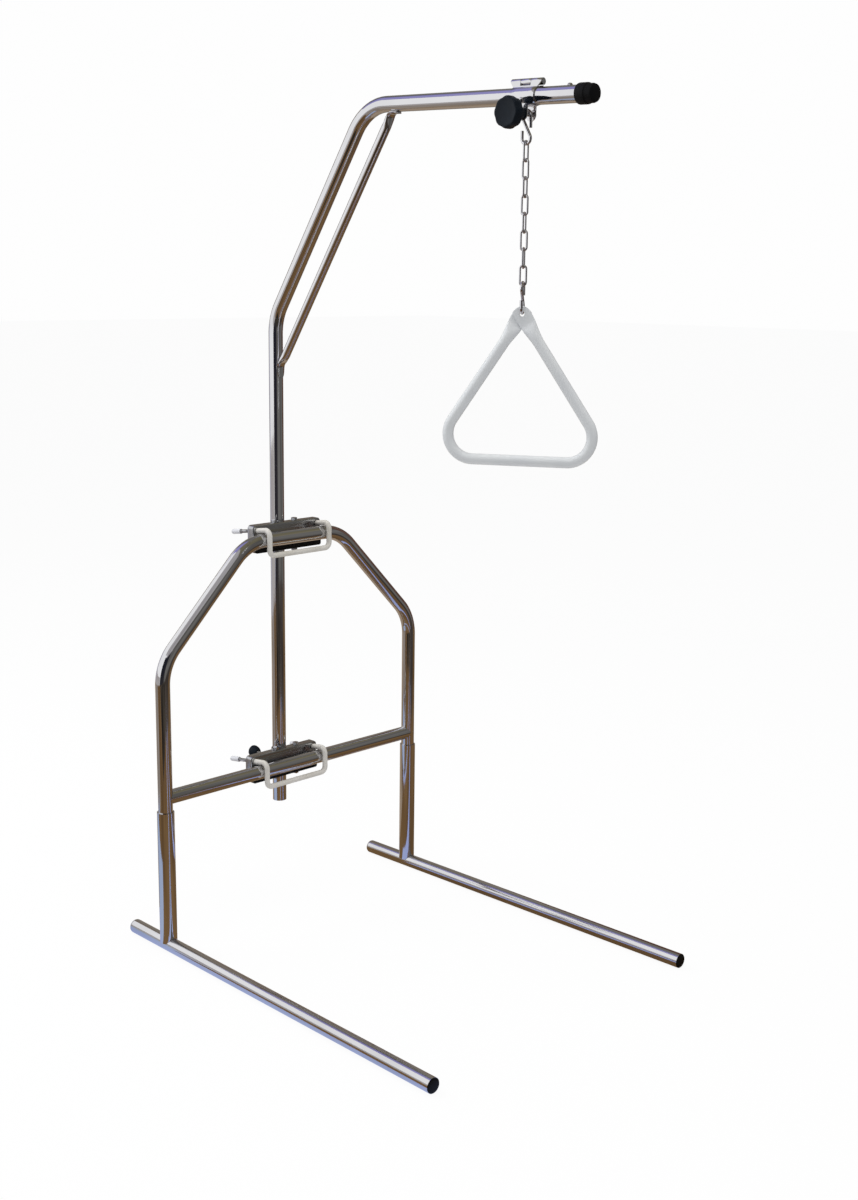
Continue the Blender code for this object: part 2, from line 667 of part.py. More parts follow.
def build_strap(name, carrier, locked):
    """Strap round the back of the mast with rolled eyes on two upright bolts."""
    middle = radius(MAST_DIAMETER) + SEAT + STRAP_THICKNESS / 2
    eye = radius(STRAP_BOLT) + SEAT + STRAP_THICKNESS / 2
    centre = Vector((MAST_X, 0))
    bolt = Vector((STRAP_BOLT_X, -STRAP_BOLT_Y))
    gap = centre - bolt
    lean = math.asin((middle + eye) / gap.length)
    heading = math.atan2(gap.y, gap.x) + lean
    eye_angle = heading - math.pi / 2
    mast_angle = heading + math.pi / 2
    curl = arc(bolt, eye_angle - math.radians(285), eye_angle, 9, eye)
    wrap = arc(centre, mast_angle, math.pi, 6, middle)
    half = curl + wrap
    path = half + [(x, -y) for x, y in half[-2::-1]]
    low, high = -STRAP_HEIGHT / 2, STRAP_HEIGHT / 2
    rows = [((x, y, low), (x, y, high)) for x, y in path]
    strap = sheet(f"{name}_strap", rows, STRAP_THICKNESS, carrier, None, ZINC)
    if locked:
        hole = make_cutter_cylinder(f"{name}_lock_hole", LOCK_SCREW + 2 * RUNNING, 0.02, carrier,
                                    along((1, 0, 0), (STRAP_BACK, 0, -LOCK_BELOW_MIDDLE)), 16)
        boolean(strap, hole)


def build_strap_bolts(name, carrier):
    """Two upright hexagon bolts through the tray flanges and the strap's eyes."""
    top = TRAY_HEIGHT / 2 + SEAT
    reach = TRAY_HEIGHT + 2 * SEAT + HEX_NUT + BOLT_OVERRUN
    for side, sign in SIDES.items():
        base = Vector((STRAP_BOLT_X, sign * STRAP_BOLT_Y, 0))
        head = hex_piece(f"{name}_strap_bolt_{side}", HEX_HEAD, carrier, Matrix.Translation(base + Vector((0, 0, top))), ZINC)
        shank_bm = cylinder_bmesh(STRAP_BOLT, reach + 0.001, 12)
        shank = link_object(f"{name}_shank_{side}", mesh_from(shank_bm, "shank"), carrier,
                            Matrix.Translation(base + Vector((0, 0, top - reach))))
        boolean(head, as_cutter(shank), "UNION")
        seat = Matrix.Translation(base + Vector((0, 0, -TRAY_HEIGHT / 2 - SEAT - HEX_NUT)))
        nut = hex_piece(f"{name}_strap_nut_{side}", HEX_NUT, carrier, seat, ZINC)
        thread = make_cutter_cylinder(f"{name}_nut_bore_{side}", STRAP_BOLT + 2 * SEAT, 0.05, carrier, seat, 16)
        boolean(nut, thread)


def build_lock(carrier):
    """Boss on the lower strap, and the screw with its knob that presses on the mast."""
    bore = radius(LOCK_SCREW) + RUNNING
    outer = radius(LOCK_BOSS)
    ring = [(bore, LOCK_BOSS_LENGTH), (outer - 0.001, LOCK_BOSS_LENGTH), (outer, LOCK_BOSS_LENGTH - 0.001),
            (outer, 0), (bore, 0)]
    seat = (STRAP_BACK - SEAT, 0, -LOCK_BELOW_MIDDLE)
    turned("lock_boss", ring, 16, carrier, along((-1, 0, 0), seat), ZINC, closed=True)
    axis = make_empty("lock_axis", carrier, along((-1, 0, 0), (MAST_BACK - SEAT, 0, -LOCK_BELOW_MIDDLE)))
    tip = radius(LOCK_SCREW)
    screw = [(0, LOCK_SCREW_LENGTH), (tip, LOCK_SCREW_LENGTH), (tip, 0.001), (tip - 0.001, 0), (0, 0)]
    turned("lock_screw", screw, 12, axis, None, CHROME)
    end = LOCK_KNOB_END - SEAT
    start = end - LOCK_KNOB_LENGTH
    head_start = end - LOCK_KNOB_HEAD_LENGTH
    head = radius(LOCK_KNOB_HEAD)
    neck = radius(LOCK_KNOB_NECK)
    hole = tip + SEAT
    depth = LOCK_SCREW_LENGTH + SEAT
    knob = [(0, end), (head - 0.004, end), (head - 0.001, end - 0.0015), (head, end - 0.004),
            (head * 0.98, end - LOCK_KNOB_HEAD_LENGTH * 0.6), (head * 0.90, head_start), (neck, start + 0.001),
            (neck - 0.001, start), (hole, start), (hole, depth), (0, depth)]
    turned("lock_knob", knob, 20, axis, None, BLACK_PLASTIC)


def build_bracket(name, height, shift, locked, root):
    """Everything that fastens the mast at one height."""
    carrier = make_empty(f"{name}_bracket_frame", root, Matrix.Translation((0, 0, height)))
    tray = build_tray(name, carrier, shift)
    build_pad(name, carrier, shift)
    build_ubolt(name, carrier, shift, tray)
    build_strap(name, carrier, locked)
    build_strap_bolts(name, carrier)
    if locked:
        build_lock(carrier)


# Mast and boom


def build_mast(carrier):
    """Mast and boom, one bent tube."""
    end = BOOM_START + BOOM_LENGTH * BOOM_DIRECTION
    corners = [(MAST_X, 0, MAST_BOTTOM_Z), BEND_START, BOOM_START, end]
    points = rounded_path(corners, MAST_BEND_RADIUS, 6)
    return bent_tube("mast_boom", points, MAST_DIAMETER, MAST_WALL, carrier, CHROME)


def meet(first, first_direction, second, second_direction):
    """Crossing point of two lines in the XZ plane."""
    a, b = first_direction.x, -second_direction.x
    c, d = first_direction.z, -second_direction.z
    gap = second - first
    along_first = (gap.x * d - b * gap.z) / (a * d - b * c)
    return first + along_first * first_direction


def brace_ring(point, across, through, half_width, half_thickness, share, curl):
    """Ring of one brace station, from a flat bar (share 0) to a round (share 1).

    Curl is how far the bar is wrapped round the tube that lies along `through`: 1 hugs it.
    """
    ring = []
    hug = radius(MAST_DIAMETER) + SEAT + BRACE_TONGUE_THICKNESS / 2
    for i in range(BRACE_SIDES):
        angle = 2 * math.pi * (i + 0.5) / BRACE_SIDES
        level = 1 - 2 * angle / math.pi if angle < math.pi else 2 * angle / math.pi - 3
        inset = 1.0 if abs(level) < 0.8 else 0.5
        u = share * math.cos(angle) * half_width
        u += (1 - share) * half_width * math.copysign(min(1.0, abs(level) * 1.143), level)
        v = share * math.sin(angle) * half_thickness
        v += (1 - share) * half_thickness * math.copysign(inset, math.sin(angle))
        if curl > 0.001:
            bend = hug / curl
            u, v = (bend - v) * math.sin(u / bend), bend - (bend - v) * math.cos(u / bend)
        ring.append(point + u * across + v * through)
    return ring


def build_brace(carrier):
    """Round brace under the bent part of the mast, its ends flattened round the mast and boom."""
    stand = radius(MAST_DIAMETER) + SEAT + BRACE_TONGUE_THICKNESS / 2
    normal = Vector((math.cos(BENT_ANGLE), 0, -math.sin(BENT_ANGLE)))
    on_brace = BEND_START + BRACE_OFFSET * normal
    low = meet(on_brace, BENT_DIRECTION, BEND_START + Vector((stand, 0, 0)), Vector((0, 0, 1)))
    high = meet(on_brace, BENT_DIRECTION, BOOM_START - stand * BOOM_UP, BOOM_DIRECTION)
    start = low - Vector((0, 0, BRACE_LOWER_TONGUE))
    end = high + BRACE_UPPER_TONGUE * BOOM_DIRECTION
    bends = rounded_path([start, low, high, end], BRACE_BEND, 3)[1:-1]
    extra = [low + BENT_DIRECTION * reach for reach in (0.015, 0.024, BRACE_FLARE)]
    extra += [high - BENT_DIRECTION * reach for reach in (BRACE_FLARE, 0.024, 0.016)]
    path = [start + Vector((0, 0, BRACE_LOWER_TONGUE)) * part for part in (0, 0.12, 0.35)]
    path += bends[:4] + extra + bends[4:]
    path += [end - BOOM_DIRECTION * BRACE_UPPER_TONGUE * part for part in (0.25, 0.10, 0)]
    across = Vector((0, 1, 0))
    span = (high - low).length
    bm = bmesh.new()
    rings = []
    for i, point in enumerate(path):
        before = path[max(i - 1, 0)]
        after = path[min(i + 1, len(path) - 1)]
        through = (after - before).normalized().cross(across)
        travel = (point - low).dot(BENT_DIRECTION)
        reach = min(travel, span - travel)
        rise = min(max(reach / BRACE_FLARE, 0.0), 1.0)
        share = rise * rise * (3 - 2 * rise)
        beyond = min(1.0, max(0.0, (low - point).z / BRACE_LOWER_TONGUE,
                              (point - high).dot(BOOM_DIRECTION) / BRACE_UPPER_TONGUE))
        narrow = beyond ** 2 if beyond < 0.95 else 1.35
        half_width = BRACE_TONGUE_WIDTH / 2 + (radius(BRACE_DIAMETER) - BRACE_TONGUE_WIDTH / 2) * share
        half_width -= (BRACE_TONGUE_WIDTH - BRACE_TIP_WIDTH) / 2 * narrow
        half_thickness = BRACE_TONGUE_THICKNESS / 2
        half_thickness += (radius(BRACE_DIAMETER) - half_thickness) * share
        rings.append([bm.verts.new(p) for p in brace_ring(point, across, through, half_width,
                                                          half_thickness, share, 1 - rise)])
    for lower, upper in zip(rings, rings[1:]):
        for i in range(BRACE_SIDES):
            j = (i + 1) % BRACE_SIDES
            bm.faces.new((lower[i], lower[j], upper[j], upper[i]))
    bm.faces.new(rings[0])
    bm.faces.new(rings[-1])
    return make_mesh_object("brace", bm, carrier, None, CHROME)


def boom_matrix(distance):
    """Frame on the boom's axis: local X forward along it and local Z square above it."""
    turn = Matrix.Rotation(BOOM_DROOP, 4, "Y")
    return Matrix.Translation(BOOM_START + distance * BOOM_DIRECTION) @ turn


def build_boom_end(carrier, mast):
    """Rubber end cap and the stop screw in front of the clamp."""
    boom = make_empty("boom_end_frame", carrier, boom_matrix(CAP_START))
    outer = radius(BOOM_CAP_DIAMETER)
    nose = radius(BOOM_CAP_NOSE)
    bore = radius(MAST_DIAMETER) + SEAT
    top = BOOM_CAP_LENGTH
    cap = [(0, top), (nose * 0.6, top), (nose - 0.0015, top - 0.0022), (nose, top - 0.006),
           (nose, BOOM_CAP_BARREL + 0.001), (outer - 0.0018, BOOM_CAP_BARREL), (outer, BOOM_CAP_BARREL - 0.0025),
           (outer, 0.003), (outer - 0.0015, 0), (bore, 0), (bore, top - BOOM_CAP_END_WALL),
           (0, top - BOOM_CAP_END_WALL)]
    turned("boom_end_cap", cap, 24, boom, along((1, 0, 0)), RUBBER)
    place = Matrix.Translation((-STOP_BEFORE_CAP, 0, radius(MAST_DIAMETER)))
    head = radius(STOP_HEAD)
    shank = radius(STOP_SHANK)
    depth = MAST_WALL + 0.003
    stop = [(0, 0.0040), (head * 0.5, 0.0034), (head * 0.85, 0.002), (head, SEAT), (shank, SEAT),
            (shank, -depth), (0, -depth)]
    turned("stop_screw", stop, 12, boom, place, CHROME)
    hole = make_cutter_cylinder("stop_hole", STOP_SHANK + 2 * SEAT, 0.012, boom, place, 12)
    boolean(mast, hole)


# Boom clamp


def clamp_shell(name, sign, carrier):
    """Half shell: rolled knuckle on top, round the boom, then an ear under it."""
    tube = radius(MAST_DIAMETER) + RUNNING + CLAMP_SHEET / 2
    roll = radius(CLAMP_SPINE_DIAMETER) - CLAMP_SHEET / 2
    spine_z = tube + CLAMP_SHEET / 2 + SEAT + radius(CLAMP_SPINE_DIAMETER)
    ear_y = CLAMP_EAR_HALF_GAP + CLAMP_SHEET / 2
    ear_angle = -math.acos(ear_y / tube)
    lean = math.radians(64)
    ear_bottom = -CLAMP_STUD_DROP - CLAMP_EAR_BELOW_STUD
    half_spine, half_shell, half_ear = CLAMP_SPINE_LENGTH / 2, CLAMP_LENGTH / 2, CLAMP_EAR_LENGTH / 2
    ear_start = tube * math.sin(ear_angle)
    path = [(p, half_spine) for p in arc((0, spine_z), CLAMP_ROLL_ANGLE, 0, CLAMP_ROLL_STEPS, roll)]
    path += [(p, half_shell) for p in arc((0, 0), lean, ear_angle, 9, tube)]
    path += [((ear_y, ear_start - 0.0025), half_shell - 0.003), ((ear_y, ear_start - 0.0045), half_ear)]
    path += [((ear_y, ear_bottom + half_ear * 0.55), half_ear), ((ear_y, ear_bottom + half_ear * 0.2), half_ear * 0.8),
             ((ear_y, ear_bottom), half_ear * 0.45)]
    rows = [((-half, sign * y, z), (half, sign * y, z)) for (y, z), half in path]
    shell = sheet(name, rows, CLAMP_SHEET, carrier, None, CHROME)
    knuckle = CLAMP_SPINE_LENGTH / 3
    notch_z = tube + CLAMP_SHEET / 2 + SEAT + 0.1
    if sign < 0:
        boxes = [(0.0, knuckle + 2 * SEAT)]
    else:
        boxes = [(-knuckle, knuckle + 2 * SEAT), (knuckle, knuckle + 2 * SEAT)]
    for number, (x, width) in enumerate(boxes):
        if sign > 0:
            width += 0.02
            x += math.copysign(0.01, x)
        box = make_cutter_box(f"{name}_notch_{number}", (width, 0.06, 0.2), carrier,
                              Matrix.Translation((x, 0, notch_z)))
        boolean(shell, box)
    stud_hole = make_cutter_cylinder(f"{name}_stud_hole", CLAMP_STUD + 2 * RUNNING, 0.01, carrier,
                                     along((0, 1, 0), (0, sign * ear_y, -CLAMP_STUD_DROP)), 16)
    boolean(shell, stud_hole)
    pin_diameter = 2 * (roll * math.cos(CLAMP_ROLL_ANGLE / CLAMP_ROLL_STEPS / 2) - CLAMP_SHEET / 2 - SEAT)
    return shell, spine_z, tube, ear_y, pin_diameter


def build_clamp(root):
    """Clamp that slides along the boom and carries the chain."""
    clamp = make_empty("boom_clamp_frame", root, boom_matrix(CLAMP_POSITION))
    near, spine_z, tube, ear_y, pin_diameter = clamp_shell("clamp_shell_near", -1, clamp)
    clamp_shell("clamp_shell_far", 1, clamp)
    pin_bm = cylinder_bmesh(pin_diameter, CLAMP_SPINE_LENGTH + 0.002, 16, centred=True)
    make_mesh_object("clamp_hinge_pin", pin_bm, clamp, along((1, 0, 0), (0, 0, spine_z)), ZINC)
    rivet_angle = math.radians(-22)
    outward = Vector((0, -math.cos(rivet_angle), math.sin(rivet_angle)))
    head = radius(RIVET_HEAD)
    rivet = [(0, 0.0036), (head * 0.55, 0.003), (head * 0.88, 0.0016), (head, SEAT), (0.0025, SEAT),
             (0.0025, -CLAMP_SHEET), (0, -CLAMP_SHEET)]
    face = along(outward, outward * (tube + CLAMP_SHEET / 2))
    turned("clamp_rivet", rivet, 12, clamp, face, CHROME)
    boolean(near, make_cutter_cylinder("rivet_hole", 0.005 + 2 * SEAT, 0.01, clamp, face, 12))
    outer_face = ear_y + CLAMP_SHEET / 2
    stud_end = outer_face + SEAT + HEX_NUT + BOLT_OVERRUN
    nut_place = along((0, 1, 0), (0, outer_face + SEAT, -CLAMP_STUD_DROP))
    nut = hex_piece("clamp_nut", HEX_NUT, clamp, nut_place, ZINC)
    boolean(nut, make_cutter_cylinder("clamp_nut_bore", CLAMP_STUD + 2 * RUNNING, 0.05, clamp, nut_place, 16))
    knob_start = outer_face + RUNNING
    axis = make_empty("clamp_knob_axis", clamp, along((0, -1, 0), (0, 0, -CLAMP_STUD_DROP)))
    stud_depth = knob_start + KNOB_LENGTH - 0.012
    stud = [(0, stud_depth), (radius(CLAMP_STUD), stud_depth), (radius(CLAMP_STUD), -stud_end + 0.001),
            (radius(CLAMP_STUD) - 0.001, -stud_end), (0, -stud_end)]
    turned("clamp_stud", stud, 12, axis, None, ZINC)
    build_knob(axis, knob_start, stud_depth)


def build_knob(axis, start, stud_depth):
    """Fluted round knob with a narrower hub towards the clamp."""
    count = KNOB_FLUTES * 4
    outline = []
    for i in range(count):
        angle = 2 * math.pi * i / count
        size = radius(KNOB_DIAMETER) - KNOB_FLUTE_DEPTH * (0.5 - 0.5 * math.cos(KNOB_FLUTES * angle))
        outline.append((size * math.cos(angle), size * math.sin(angle)))
    end = start + KNOB_LENGTH
    disc_start = end - KNOB_DISC
    face = Matrix.Translation((0, 0, (disc_start + end) / 2))
    knob = plate("clamp_knob", outline, KNOB_DISC, axis, face, BLACK_PLASTIC, bevel=0.0025)
    hub_radius = radius(KNOB_HUB)
    hub = [(0, end - 0.004), (hub_radius + 0.008, end - 0.004), (hub_radius + 0.006, disc_start - 0.001),
           (hub_radius, disc_start - 0.010), (hub_radius * 0.72, start + 0.001), (hub_radius * 0.68, start), (0, start)]
    hub_item = bake(turned("knob_hub", hub, 24, axis, None, None))
    boolean(knob, as_cutter(hub_item), "UNION")
    depth = stud_depth + SEAT
    hole = make_cutter_cylinder("knob_bore", CLAMP_STUD + 2 * SEAT, depth, axis, Matrix.Translation((0, 0, depth / 2)), 16)
    boolean(knob, hole)


# Chain and handle


def hook_path(length, top_tail):
    """Centreline of an S-hook in local XZ, with its upper loop centred on the origin."""
    size = HOOK_LOOP_RADIUS
    spread = length - HOOK_WIRE - 2 * size
    upper = Vector((0, 0))
    lower = Vector((0, -spread))
    lean = math.asin(2 * size / spread)
    tail = arc(upper, 0, math.pi + lean, 11, size)
    bottom = arc(lower, lean, -math.pi, 11, size)
    first = [(size, upper.y - top_tail)]
    last = [(-size, lower.y + HOOK_LOWER_TAIL)]
    return first + tail + bottom + last


def build_hook(name, which, pivot, yaw, pin, root):
    """S-hook whose upper loop rests on a pin of the given radius at the pivot."""
    axis = make_empty(f"{name}_axis", root, Matrix.Translation(pivot) @ Matrix.Rotation(yaw, 4, "Z"))
    lift = pin + SEAT + radius(HOOK_WIRE) - HOOK_LOOP_RADIUS
    points = [(x, 0, z + lift) for x, z in hook_path(HOOK_LENGTH[which], HOOK_TAIL[which])]
    wire(name, points, HOOK_WIRE, axis, None, CHROME)
    drop = lift - (HOOK_LENGTH[which] - HOOK_WIRE - 2 * HOOK_LOOP_RADIUS) - HOOK_LOOP_RADIUS
    return pivot + Vector((0, 0, drop))


def build_link(name, pivot, yaw, pin, root):
    """Chain link hanging on a wire of the given radius at the pivot."""
    axis = make_empty(f"{name}_axis", root, Matrix.Translation(pivot) @ Matrix.Rotation(yaw, 4, "Z"))
    size = radius(LINK_WIDTH - LINK_WIRE)
    top = pin + SEAT + radius(LINK_WIRE)
    straight = LINK_LENGTH - LINK_WIRE - 2 * size
    outline = arc((0, top - size), 0, math.pi, 6, size)
    outline += arc((0, top - size - straight), math.pi, 2 * math.pi, 6, size)
    wire(name, [(x, 0, z) for x, z in outline], LINK_WIRE, axis, None, CHROME, cyclic=True)
    return pivot + Vector((0, 0, top - (LINK_LENGTH - LINK_WIRE)))


def build_handle(pivot, yaw, root):
    """Bent tube with its ends flattened into one eye, made as a mirrored half."""
    axis = make_empty("handle_axis", root, Matrix.Translation(pivot) @ Matrix.Rotation(yaw, 4, "Z"))
    apex = Vector((0, 0, -HANDLE_APEX_DROP))
    down = Vector((math.sin(HANDLE_SIDE_ANGLE), 0, -math.cos(HANDLE_SIDE_ANGLE)))
    side_length = (HANDLE_DROP - HANDLE_APEX_DROP) / math.cos(HANDLE_SIDE_ANGLE)
    corner = apex + side_length * down
    inner = Vector((-0.004, 0, -HANDLE_DROP))
    path = rounded_path([apex + 0.014 * down, corner, inner], HANDLE_CORNER_RADIUS, 9)
    flat, rounding = 0.022, 0.062
    path = path[:1] + [apex + s * down for s in (flat, 0.032, 0.042, 0.052, rounding)] + path[1:]
    through = Vector((0, 1, 0))
    tube = radius(HANDLE_TUBE)
    stations = []
    for i, point in enumerate(path):
        before = path[max(i - 1, 0)]
        after = path[min(i + 1, len(path) - 1)]
        across = (after - before).normalized().cross(through)
        reach = (point - apex).dot(down) if i < 7 else rounding
        share = min(max((reach - flat) / (rounding - flat), 0.0), 1.0)
        blend = share * share * (3 - 2 * share)
        half_width = HANDLE_FLAT_WIDTH / 2 + (tube - HANDLE_FLAT_WIDTH / 2) * share
        half_thickness = HANDLE_EYE_THICKNESS / 2 + (tube - HANDLE_EYE_THICKNESS / 2) * blend
        stations.append((point, across, through, half_width, half_thickness - 0.0002, 1.8 - 0.8 * share))
    handle = loft("trapeze_handle", stations, 16, axis, None, GREY_WHITE)
    tip_centre = HANDLE_EYE_TIP_RISE - HANDLE_EYE_TIP_RADIUS
    arch = arc((0, tip_centre), HANDLE_EYE_SIDE_ANGLE, math.pi - HANDLE_EYE_SIDE_ANGLE, 9, HANDLE_EYE_TIP_RADIUS)
    skirt = 0.022
    right = Vector((arch[0][0] + skirt * math.tan(HANDLE_EYE_SIDE_ANGLE), arch[0][1] - skirt))
    inner_edge = (HANDLE_FLAT_WIDTH / 2 - 0.004) / math.sin(HANDLE_SIDE_ANGLE)
    crotch = -HANDLE_APEX_DROP - inner_edge
    outline = arch + [(-right.x, right.y), (-0.004, crotch), (0.004, crotch), (right.x, right.y)]
    stand = Matrix(((1, 0, 0, 0), (0, 0, -1, 0), (0, 1, 0, 0), (0, 0, 0, 1)))
    eye = plate("handle_eye", outline, HANDLE_EYE_THICKNESS, axis, stand, None)
    boolean(handle, as_cutter(eye), "UNION")
    mirror = handle.modifiers.new("mirror", "MIRROR")
    mirror.use_axis = (True, False, False)
    mirror.use_bisect_axis = (True, False, False)
    mirror.merge_threshold = 1e-5
    half_eye = HANDLE_EYE_THICKNESS / 2
    bow_rise = HOOK_LOOP_RADIUS - math.sqrt(HOOK_LOOP_RADIUS ** 2 - half_eye ** 2)
    hole_top = radius(HOOK_WIRE) + SEAT + bow_rise
    centre = Matrix.Translation((0, 0, hole_top - radius(HANDLE_EYE_HOLE)))
    hole = make_cutter_cylinder("eye_hole", HANDLE_EYE_HOLE, 0.03, axis, centre @ along((0, 1, 0)), 16)
    return boolean(handle, hole)


def build_chain(root):
    """Upper hook, links, lower hook and handle, each hanging on the one above."""
    place = build_hook("upper_s_hook", "upper", STUD_CENTRE, 0.0, radius(CLAMP_STUD), root)
    pin = radius(HOOK_WIRE)
    for number in range(1, LINK_COUNT + 1):
        yaw = math.pi / 2 * (number % 2) + CHAIN_TWIST * number / LINK_COUNT
        place = build_link(f"chain_link_{number}", place, yaw, pin, root)
        pin = radius(LINK_WIRE)
    place = build_hook("lower_s_hook", "lower", place, CHAIN_TWIST + math.pi / 2, pin, root)
    build_handle(place, CHAIN_TWIST, root)


def main():
    """Build the whole bed trapeze."""
    root = make_empty("bed_trapeze_root", None, Matrix.Translation((ORIGIN_SHIFT, 0, 0)))
    for side in SIDES:
        leg = build_leg(side, root)
        build_socket(side, leg, root)
    build_head_frame(root)
    build_bracket("upper", ARCH_TOP_Z, UPPER_TRAY_SHIFT, False, root)
    build_bracket("lower", CROSSBAR_Z, LOWER_TRAY_SHIFT, True, root)
    mast_carrier = make_empty("mast_frame", root)
    mast = build_mast(mast_carrier)
    build_brace(mast_carrier)
    build_boom_end(mast_carrier, mast)
    build_clamp(mast_carrier)
    build_chain(root)
    bpy.context.view_layer.update()
    print("origin shift", round(ORIGIN_SHIFT, 6), "mast axis x", round(MAST_X + ORIGIN_SHIFT, 6))
    for empty in (item for item in PARTS.objects if item.type == "EMPTY"):
        print(empty.name, [round(v, 6) for v in empty.matrix_world.translation])


main()
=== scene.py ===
# %% [markdown]
# A free-standing bed trapeze
#
# This file dresses a bed trapeze: chromed floor tubes and an arch, a sliding mast with a bent
# boom, and a white triangular handle on a chain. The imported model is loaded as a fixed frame.
# Each piece is then made again with finer surfaces, in the place its solid holds, and rides on
# the same body, so that it moves as the solid does.

# %% Load the frame
import json
import math

import bmesh
import bpy
from mathutils import Matrix, Vector


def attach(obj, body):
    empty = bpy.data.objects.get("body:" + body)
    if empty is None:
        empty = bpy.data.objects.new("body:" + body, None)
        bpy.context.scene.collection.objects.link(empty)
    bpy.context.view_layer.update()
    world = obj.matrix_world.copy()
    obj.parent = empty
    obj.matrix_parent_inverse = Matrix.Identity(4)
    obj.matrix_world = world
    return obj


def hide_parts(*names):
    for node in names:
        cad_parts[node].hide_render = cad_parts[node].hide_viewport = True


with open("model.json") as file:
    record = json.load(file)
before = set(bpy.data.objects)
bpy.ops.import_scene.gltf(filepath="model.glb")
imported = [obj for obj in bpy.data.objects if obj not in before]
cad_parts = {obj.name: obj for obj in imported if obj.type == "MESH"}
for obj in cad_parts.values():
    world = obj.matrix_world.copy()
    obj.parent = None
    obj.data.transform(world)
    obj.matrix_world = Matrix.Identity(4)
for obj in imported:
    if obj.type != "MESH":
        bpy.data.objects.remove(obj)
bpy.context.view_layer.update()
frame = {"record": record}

# %% [markdown]
# The sizes of the real object come first, because pieces that meet share them. A seat is the
# small gap between two pieces that touch, and moving pieces have the running gap. Points are in
# metres. X runs forward along the boom, Y to the far side and Z up. The arch stands at ARCH_X,
# so that the whole stands centred. The solids of the floor tubes have 24 sides and lie on one of
# them, so their axis is a little lower than half their width.

# %% Sizes of the stand
SEAT = 0.0003
RUNNING = 0.0004
ARCH_X = -0.341993
TUBE = 0.032
WALL = 0.0018
LEG_SPACING = 0.740
LEG_FORWARD = 0.845
LEG_BACKWARD = 0.128
LEG_TOE_OUT = math.radians(1.0)
LEG_SIDES = 24
LEG_AXIS_Z = TUBE / 2 * math.cos(math.pi / LEG_SIDES)
SOCKET = 0.038
SOCKET_TOP = 0.325
SHOULDER_Z = 0.655
ARCH_TOP_Z = 0.895
ARCH_TOP_HALF = 0.1342
BEND = 0.112
CROSSBAR_Z = 0.356
SIDES = {"near": -1, "far": 1}

# %% Sizes of the brackets
TRAY_WIDTH = 0.200
TRAY_HEIGHT = 0.063
TRAY_DEPTH = 0.0192
TRAY_SHEET = 0.003
TRAY_CORNER = 0.008
PAD = 0.0054
PAD_TOP = 0.008
WEB_FRONT = -(TUBE / 2 + SEAT + PAD + SEAT)
WEB_BACK = WEB_FRONT - TRAY_SHEET
TRAY_RIM = WEB_FRONT - TRAY_DEPTH
MAST_X = TRAY_RIM - SEAT - TUBE / 2
MAST_BACK = MAST_X - TUBE / 2
ROD = 0.012
ROD_TOP, ROD_FOOT, ROD_BEND = 0.026, -0.032, 0.013
ROD_X = TUBE / 2 + SEAT + ROD / 2
ROD_Y = TRAY_WIDTH / 2 - 0.012
ROD_SLOPE = math.radians(8.0)
THREAD = 0.008
PITCH = 0.00125
BOLT_HOLE = THREAD + 0.0008
HEX_ACROSS = 0.013
NUT_HEIGHT = 0.0065
STRAP = 0.0025
STRAP_HALF_HEIGHT = 0.025
STRAP_BACK = MAST_BACK - SEAT - STRAP
BOLT_X = WEB_BACK - 0.0085
BOLT_Y = 0.030
LOCK_DROP = 0.007
LEVELS = {"upper": (ARCH_TOP_Z, 0.0), "lower": (CROSSBAR_Z, -0.014)}

# %% Sizes of the mast, boom and hanging pieces
MAST_BOTTOM_Z = 0.2526
BENT_LENGTH = 0.5303
BENT_ANGLE = math.radians(34.3)
BOOM_LENGTH = 0.5968
BOOM_DROOP = math.radians(1.67)
BEND_START = Vector((MAST_X, 0, 1.383))
BENT_WAY = Vector((math.sin(BENT_ANGLE), 0, math.cos(BENT_ANGLE)))
BOOM_START = BEND_START + BENT_LENGTH * BENT_WAY
BOOM_WAY = Vector((math.cos(BOOM_DROOP), 0, -math.sin(BOOM_DROOP)))
BOOM_UP = Vector((math.sin(BOOM_DROOP), 0, math.cos(BOOM_DROOP)))
CAP_LENGTH = 0.038
CAP_START = BOOM_LENGTH + SEAT + 0.005 - CAP_LENGTH
CLAMP_AT = 0.4385
STUD_DROP = 0.0317
STUD = BOOM_START + CLAMP_AT * BOOM_WAY - STUD_DROP * BOOM_UP
STAND = Matrix.Translation((ARCH_X, 0, 0))
print("stud centre", [round(v, 4) for v in STAND @ STUD])

# %% [markdown]
# The camera stands at the near front corner, a little above the handle. Its place, its turn and
# its lens were worked out from how the tubes converge in the photograph. The frame is 858 by
# 1200, so the lens is given for the tall side.

# %% Camera
CAMERA_PLACE = Vector((2.6708, -2.2511, 1.4806))
CAMERA_YAW, CAMERA_PITCH, CAMERA_ROLL = 0.78143, -0.20682, 0.01186
FOCAL_PIXELS, FRAME_HEIGHT = 1545.5, 1200.0
SENSOR_HEIGHT = 36.0


def in_scene(name, data):
    """A new object in the scene."""
    item = bpy.data.objects.new(name, data)
    bpy.context.scene.collection.objects.link(item)
    return item


